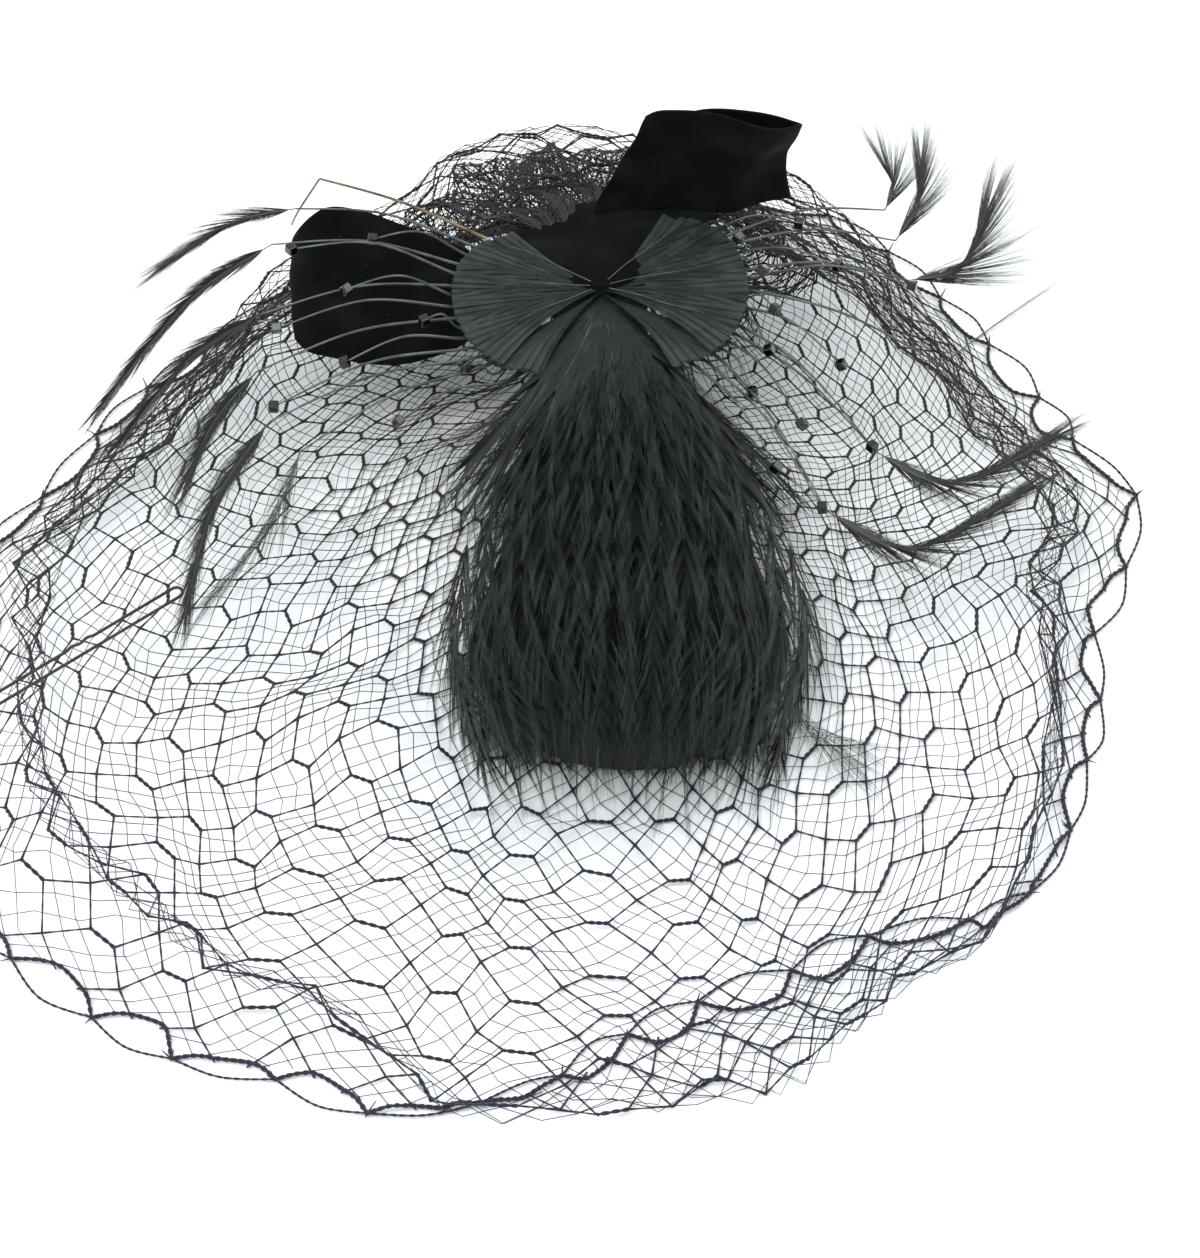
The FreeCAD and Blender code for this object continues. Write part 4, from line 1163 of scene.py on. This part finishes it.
# ---------------------------------------------------------------- quills, beads, plumes
# Where each bead sits, in order of the quills' angle round the bow, and how high the
# quill arches on its way, in millimetres.
LEFT_BEADS = ((-52, 88, 63), (-76, 86, 61), (-59, 70, 60), (-79, 60, 54), (-59, 50, 50),
              (-79, 36, 46), (-36, 60, 57), (-43, 32, 44), (-24, 48, 50))
LEFT_RISES = (9, 11, 10, 10, 8, 9, 6, 7, 5)
RIGHT_BEADS = ((59, 40, 48), (65, 14, 44), (78, 4, 38), (73, 30, 45), (93, 24, 42),
               (64, 52, 53), (85, 50, 49), (66, 66, 56), (107, 78, 54), (63, 80, 58),
               (85, 82, 58), (74, 96, 62), (56, 92, 60))
RIGHT_RISES = (5, 7, 9, 7, 9, 5, 8, 5, 10, 4, 7, 7, 5)
# Base, middle and tip of each plume, the half width of its vane and how thickly its barbs
# cover it.
PLUMES = {
    "left_plume_1": ((-82, 89, 60), (-105, 70, 56), (-131, 40, 40), 4.5, 0.9),
    "left_plume_2": ((-84, 68, 52), (-104, 52, 50), (-124, 28, 38), 4.5, 0.9),
    "left_plume_3": ((-85, 50, 46), (-96, 32, 44), (-103, 12, 40), 6.0, 0.9),
    "left_plume_4": ((-80, 32, 44), (-94, 3, 41), (-100, -34, 34), 5.5, 0.8),
    "left_plume_5": ((-71, 24, 40), (-79, -3, 36), (-95, -28, 33), 7.0, 0.45),
    "left_plume_6": ((-75, 98, 66), (-94, 94, 64), (-115, 81, 58), 5.0, 0.75),
    "right_plume_1": ((100, 104, 60), (103, 111, 62), (101, 119, 64), 8.0, 0.9),
    "right_plume_2": ((103, 95, 56), (110, 106, 60), (112, 124, 62), 8.0, 0.9),
    "right_plume_3": ((106, 80, 54), (122, 84, 56), (131, 106, 59), 10.0, 1.0),
    "right_plume_4": ((115, 57, 42), (132, 70, 46), (147, 82, 48), 4.0, 0.3),
    "right_plume_5": ((94, 23, 41), (116, 13, 38), (148, 34, 37), 6.5, 0.8),
    "right_plume_6": ((79, 3, 38), (103, -9, 35), (138, 14, 36), 6.5, 0.8),
}
# Angles round the bow between which the quills of each side leave the fan's rim.
SPRAYS = {"left": (150, 232), "right": (-46, 44)}
QUILL_FOOT = 32.0        # where quills start under a fan, from the bow's middle
QUILL_RADIUS = 0.55


def arched_route(angle, end, rise):
    """A quill's route from under the fan, out over its rim in an arch to its end."""
    ray = Vector((math.cos(angle), math.sin(angle), FAN_RISE * math.sin(angle)))
    foot, rim = (BOW + ray * reach - UP * 2.2 for reach in (QUILL_FOOT, FAN_RADIUS - 1))
    middle = rim.lerp(end, 0.5) + UP * rise * 0.7
    return smooth_path([foot, rim, middle, end], 22)


class FASCINATOR_OT_quills(bpy.types.Operator):
    """Stripped quills that spring from under the fans, most with a bead, some with a plume"""
    bl_idname = "fascinator.quills"
    bl_label = "Quill sprays"

    def execute(self, context):
        quill = mottled_material("quill_keratin_stripped", (settings().quill_colour, "#5b5f61"),
                                 8, 0.6, 0.03, Roughness=0.33, IOR=1.54)
        plain = {"left": (LEFT_BEADS, LEFT_RISES), "right": (RIGHT_BEADS, RIGHT_RISES)}
        for side, (beads, rises) in plain.items():
            low, high = (math.radians(a) for a in SPRAYS[side])
            ends = [(Vector(bead), rise) for bead, rise in zip(beads, rises)]
            ends += [(Vector(row[0]), 8) for label, row in PLUMES.items()
                     if label.startswith(side)]

            def turn(item):
                return math.atan2(item[0].y - BOW.y, item[0].x - BOW.x) % TURN

            ends.sort(key=lambda item: turn(item) if side == "left" else
                      (turn(item) + math.pi) % TURN)
            runs = []
            for n, (end, rise) in enumerate(ends):
                angle = low + (high - low) * (n + 0.5) / len(ends)
                runs.append(tapered(arched_route(angle, end, rise), QUILL_RADIUS, 0.24))
            finish_piece("%s_quill_spray" % side, tube_mesh(runs, sides=8), quill, "quill",
                         "%s_quills" % side, "%s_quill_binding" % side)
        tan = mottled_material("quill_keratin_faded", ("#3d3124", "#8a7352"), 6, 0.5, 0.03,
                               Roughness=0.4, IOR=1.54)
        route = smooth_path([(-19, 96, 56), (-44, 101, 66), (-68, 105, 71.5)], 14)
        after = smooth_path([(-68, 105, 71.5), (-74, 96, 67), (-76, 92, 65)], 8)
        finish_piece("kinked_quill", tube_mesh([tapered(route, 0.5, 0.34),
                                                tapered(after, 0.34, 0.28)], sides=8),
                     tan, "quill_broken", "left_kinked_quill")
        return {"FINISHED"}


class FASCINATOR_OT_beads(bpy.types.Operator):
    """Fire-polished cube beads, one on each plain quill's end"""
    bl_idname = "fascinator.beads"
    bl_label = "Glass beads"

    def execute(self, context):
        rng = random.Random(3)
        glass = mottled_material("glass_pressed_fire_polished", ("#030304", "#0a0b0d"), 3,
                                 1.2, 0.03, Roughness=0.08, IOR=1.52, Coat_Weight=0.4,
                                 Coat_Roughness=0.04)
        width = settings().bead_width / MM
        for side, beads in (("left", LEFT_BEADS), ("right", RIGHT_BEADS)):
            bm = bmesh.new()
            for bead in beads:
                cube = bmesh.ops.create_cube(bm, size=width * 0.94)["verts"]
                turn = Matrix.Rotation(rng.uniform(0, TURN), 3, "Z") @ Matrix.Rotation(
                    rng.uniform(-0.7, 0.7), 3, "X")
                bmesh.ops.rotate(bm, verts=cube, matrix=turn)
                bmesh.ops.translate(bm, verts=cube, vec=Vector(bead))
            bmesh.ops.bevel(bm, geom=bm.edges[:], offset=0.4, segments=3, affect="EDGES",
                            profile=0.5, material=-1)
            finish_piece("%s_cube_beads" % side, bm, glass, "bead_glass",
                         "%s_beads" % side, smooth=False)
        return {"FINISHED"}


class FASCINATOR_OT_plumes(bpy.types.Operator):
    """Narrow curved hackles with free barbs, at the ends of the longer quills"""
    bl_idname = "fascinator.plumes"
    bl_label = "Plumes"

    def execute(self, context):
        rng = random.Random(61)
        hackle = bpy.data.materials["hackle_barbs"]
        for label, (base, middle, tip, width, cover) in PLUMES.items():
            bm, uv = new_vanes()
            path = smooth_path([Vector(base), Vector(middle), Vector(tip)], 14)
            chord = Vector(tip) - Vector(base)
            facing = chord.cross(Vector(middle) - Vector(base)).normalized()
            if facing.z < 0:
                facing = -facing
            turns = (-40, 0, 40) if cover > 0.5 else (0,)
            for lean in turns:
                face = Matrix.Rotation(math.radians(lean), 3, chord) @ facing
                add_feather(bm, uv, path, [face] * len(path), width, 210, rng,
                            sweep=(17, 8), base=0.9, tip=0.7, cover=2.2 * cover,
                            split=4, ragged=0.35, camber=0.8)
            finish_piece(label + "_hackle", bm, hackle, "plume", label)
            shaft = tube_mesh([tapered(path, 0.24, 0.07)])
            finish_piece(label + "_shaft", shaft,
                         bpy.data.materials["quill_keratin_stripped"], "plume")
        return {"FINISHED"}


# ---------------------------------------------------------------- base, hidden inside
class FASCINATOR_OT_wadding(bpy.types.Operator):
    """Cotton wadding between the buckram and the feathers"""
    bl_idname = "fascinator.wadding"
    bl_label = "Wadding"

    def execute(self, context):
        bm = bmesh.new()
        around, up = 72, 20
        verts = bmesh.ops.create_grid(bm, x_segments=around, y_segments=up,
                                      size=1.0)["verts"]
        floor = WAD_LOW.z
        inner_offset, outer_offset = 2.75, WADDING_OFFSET
        for vert in verts:
            angle = math.pi * (vert.co.x + 1)
            rise = (vert.co.y + 1) / 2
            outside = rise < 0.5
            offset = outer_offset if outside else inner_offset
            climb = math.sin(math.pi * rise) if outside else math.sin(math.pi * (1 - rise))
            height = floor + (CROWN_HEIGHT + offset - floor) * (climb ** 0.7)
            share = math.sqrt(max(1 - (height / (CROWN_HEIGHT + offset)) ** 2, 0))
            ring = Vector((math.cos(angle), math.sin(angle), 0))
            tau = min(max(ring.y, 0), 1)
            radius = (WIDE_RADIUS + (NECK_RADIUS - WIDE_RADIUS) * tau + offset) * share
            middle = WIDE_Y + (NECK_Y - WIDE_Y) * tau
            vert.co = Vector((PAD_X, middle, 0)) + ring * radius + UP * height
        bmesh.ops.remove_doubles(bm, verts=bm.verts[:], dist=0.01)
        ends = [e for e in bm.edges if e.is_boundary]
        bmesh.ops.bridge_loops(bm, edges=ends)
        bmesh.ops.recalc_face_normals(bm, faces=bm.faces)
        cotton = mottled_material("cotton_wadding_carded", ("#1a1a1a", "#2b2b2b"), 6, 0.6,
                                  0.3, Roughness=0.95)
        piece = finish_piece("wadding_pad", bm, cotton, "wadding", "pad_wadding")
        return {"FINISHED"}


class FASCINATOR_OT_finishes(bpy.types.Operator):
    """Finishes shared by several pieces, and those of the base's own parts"""
    bl_idname = "fascinator.finishes"
    bl_label = "Finishes"

    def execute(self, context):
        net_material()
        barb_material("hackle_barbs", "#050707", "#1a1f20")
        buckram = woven_material("buckram_woven_sized", ("#0c0c0d", "#1d1d1e"), 0.8,
                                 Roughness=0.8)
        satin = woven_material("acetate_satin_woven", ("#0a0a0c", "#16161a"), 0.3,
                               Roughness=0.35, Sheen_Weight=0.2)
        thread = mottled_material("cotton_thread_spun", ("#070708", "#101112"), 1.5, 0.25,
                                  0.05, Roughness=0.8)
        wire = mottled_material("millinery_wire_cased", ("#0c0c0d", "#202022"), 2, 0.3,
                                0.08, Roughness=0.75)
        pin = mottled_material("steel_wire_japanned", (settings().pin_colour, "#2c2418"), 5,
                               0.8, 0.02, Roughness=0.4, Coat_Weight=0.2,
                               Coat_Roughness=0.2)
        carried = {"foundation_base": buckram, "bow_tab": buckram, "base_lining": satin,
                   "base_edge_wire": wire, "fan_binding": thread, "veil_tacks": thread,
                   "bow_stitches": thread, "hairpin": pin}
        for node, material in carried.items():
            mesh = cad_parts[node].data
            mesh.materials.clear()
            mesh.materials.append(material)
        return {"FINISHED"}


# ---------------------------------------------------------------- stage
class FASCINATOR_OT_stage(bpy.types.Operator):
    """White table, soft studio light and the camera"""
    bl_idname = "fascinator.stage"
    bl_label = "Stage"

    def execute(self, context):
        bm = bmesh.new()
        bmesh.ops.create_grid(bm, x_segments=1, y_segments=1, size=4.0)
        mesh = bpy.data.meshes.new("studio_table")
        bm.to_mesh(mesh)
        bm.free()
        table = bpy.data.objects.new("studio_table", mesh)
        bpy.context.scene.collection.objects.link(table)
        card, _, _ = new_material("paper_white_matt", Roughness=0.9,
                                  Base_Color=linear("#f6f8f9"), Specular_IOR_Level=0.2)
        mesh.materials.append(card)
        self.light("key_softbox", Vector((-0.6, -0.5, 1.5)), 1.3, 22)
        self.light("fill_softbox", Vector((0.9, 0.4, 1.2)), 1.2, 9)
        world = bpy.data.worlds.new("studio")
        context.scene.world = world
        world.use_nodes = True
        sky = world.node_tree.nodes["Background"]
        sky.inputs["Color"].default_value = linear("#f4f9fc")
        sky.inputs["Strength"].default_value = 0.85
        self.camera(context)
        context.scene.view_settings.view_transform = "Standard"
        return {"FINISHED"}

    @staticmethod
    def light(name, place, width, power):
        """A square softbox that faces the headpiece."""
        lamp = bpy.data.lights.new(name, "AREA")
        lamp.size = width
        lamp.energy = power
        box = bpy.data.objects.new(name, lamp)
        box.location = place
        box.rotation_mode = "QUATERNION"
        box.rotation_quaternion = (-place).to_track_quat("-Z", "Y")
        bpy.context.scene.collection.objects.link(box)

    @staticmethod
    def camera(context):
        """Camera above the front, looking down at the middle of the headpiece."""
        elevation = math.radians(50)
        aim = Vector((0.015, -0.009, 0.0))
        back = Vector((0, -math.cos(elevation), math.sin(elevation)))
        lens = bpy.data.cameras.new("camera")
        lens.sensor_width = 36.0
        lens.lens = 88.8
        seat = bpy.data.objects.new("camera", lens)
        seat.location = aim + back * 0.9
        seat.rotation_mode = "QUATERNION"
        seat.rotation_quaternion = (-back).to_track_quat("-Z", "Y")
        bpy.context.scene.collection.objects.link(seat)
        context.scene.camera = seat


class FASCINATOR_PT_sidebar(bpy.types.Panel):
    """Settings of the headpiece and a button for each of its pieces"""
    bl_label = "Fascinator headpiece"
    bl_space_type = "VIEW_3D"
    bl_region_type = "UI"
    bl_category = "Fascinator"

    def draw(self, context):
        for key in FascinatorSettings.__annotations__:
            self.layout.prop(context.scene.fascinator, key)
        for operator in PIECES:
            self.layout.operator(operator.bl_idname)


# The order that the pieces are made in: shared finishes come before what wears them.
PIECES = (
    FASCINATOR_OT_stage,
    FASCINATOR_OT_finishes,
    FASCINATOR_OT_wadding,
    FASCINATOR_OT_pad,
    FASCINATOR_OT_fringe,
    FASCINATOR_OT_neck,
    FASCINATOR_OT_fans,
    FASCINATOR_OT_bow,
    FASCINATOR_OT_quills,
    FASCINATOR_OT_beads,
    FASCINATOR_OT_plumes,
    FASCINATOR_OT_veil,
    FASCINATOR_OT_selvage,
    FASCINATOR_OT_heading,
)


def register():
    """Add the settings, the operators and the panel to Blender."""
    for cls in (FascinatorSettings, *PIECES, FASCINATOR_PT_sidebar):
        bpy.utils.register_class(cls)
    bpy.types.Scene.fascinator = PointerProperty(type=FascinatorSettings)


def unregister():
    """Take them away again."""
    del bpy.types.Scene.fascinator
    for cls in reversed((FascinatorSettings, *PIECES, FASCINATOR_PT_sidebar)):
        bpy.utils.unregister_class(cls)


def main():
    """Make every piece in order."""
    register()
    noise.seed_set(NOISE_SEED)
    for piece in PIECES:
        namespace, name = piece.bl_idname.split(".")
        getattr(getattr(bpy.ops, namespace), name)()


if __name__ == "__main__":
    main()
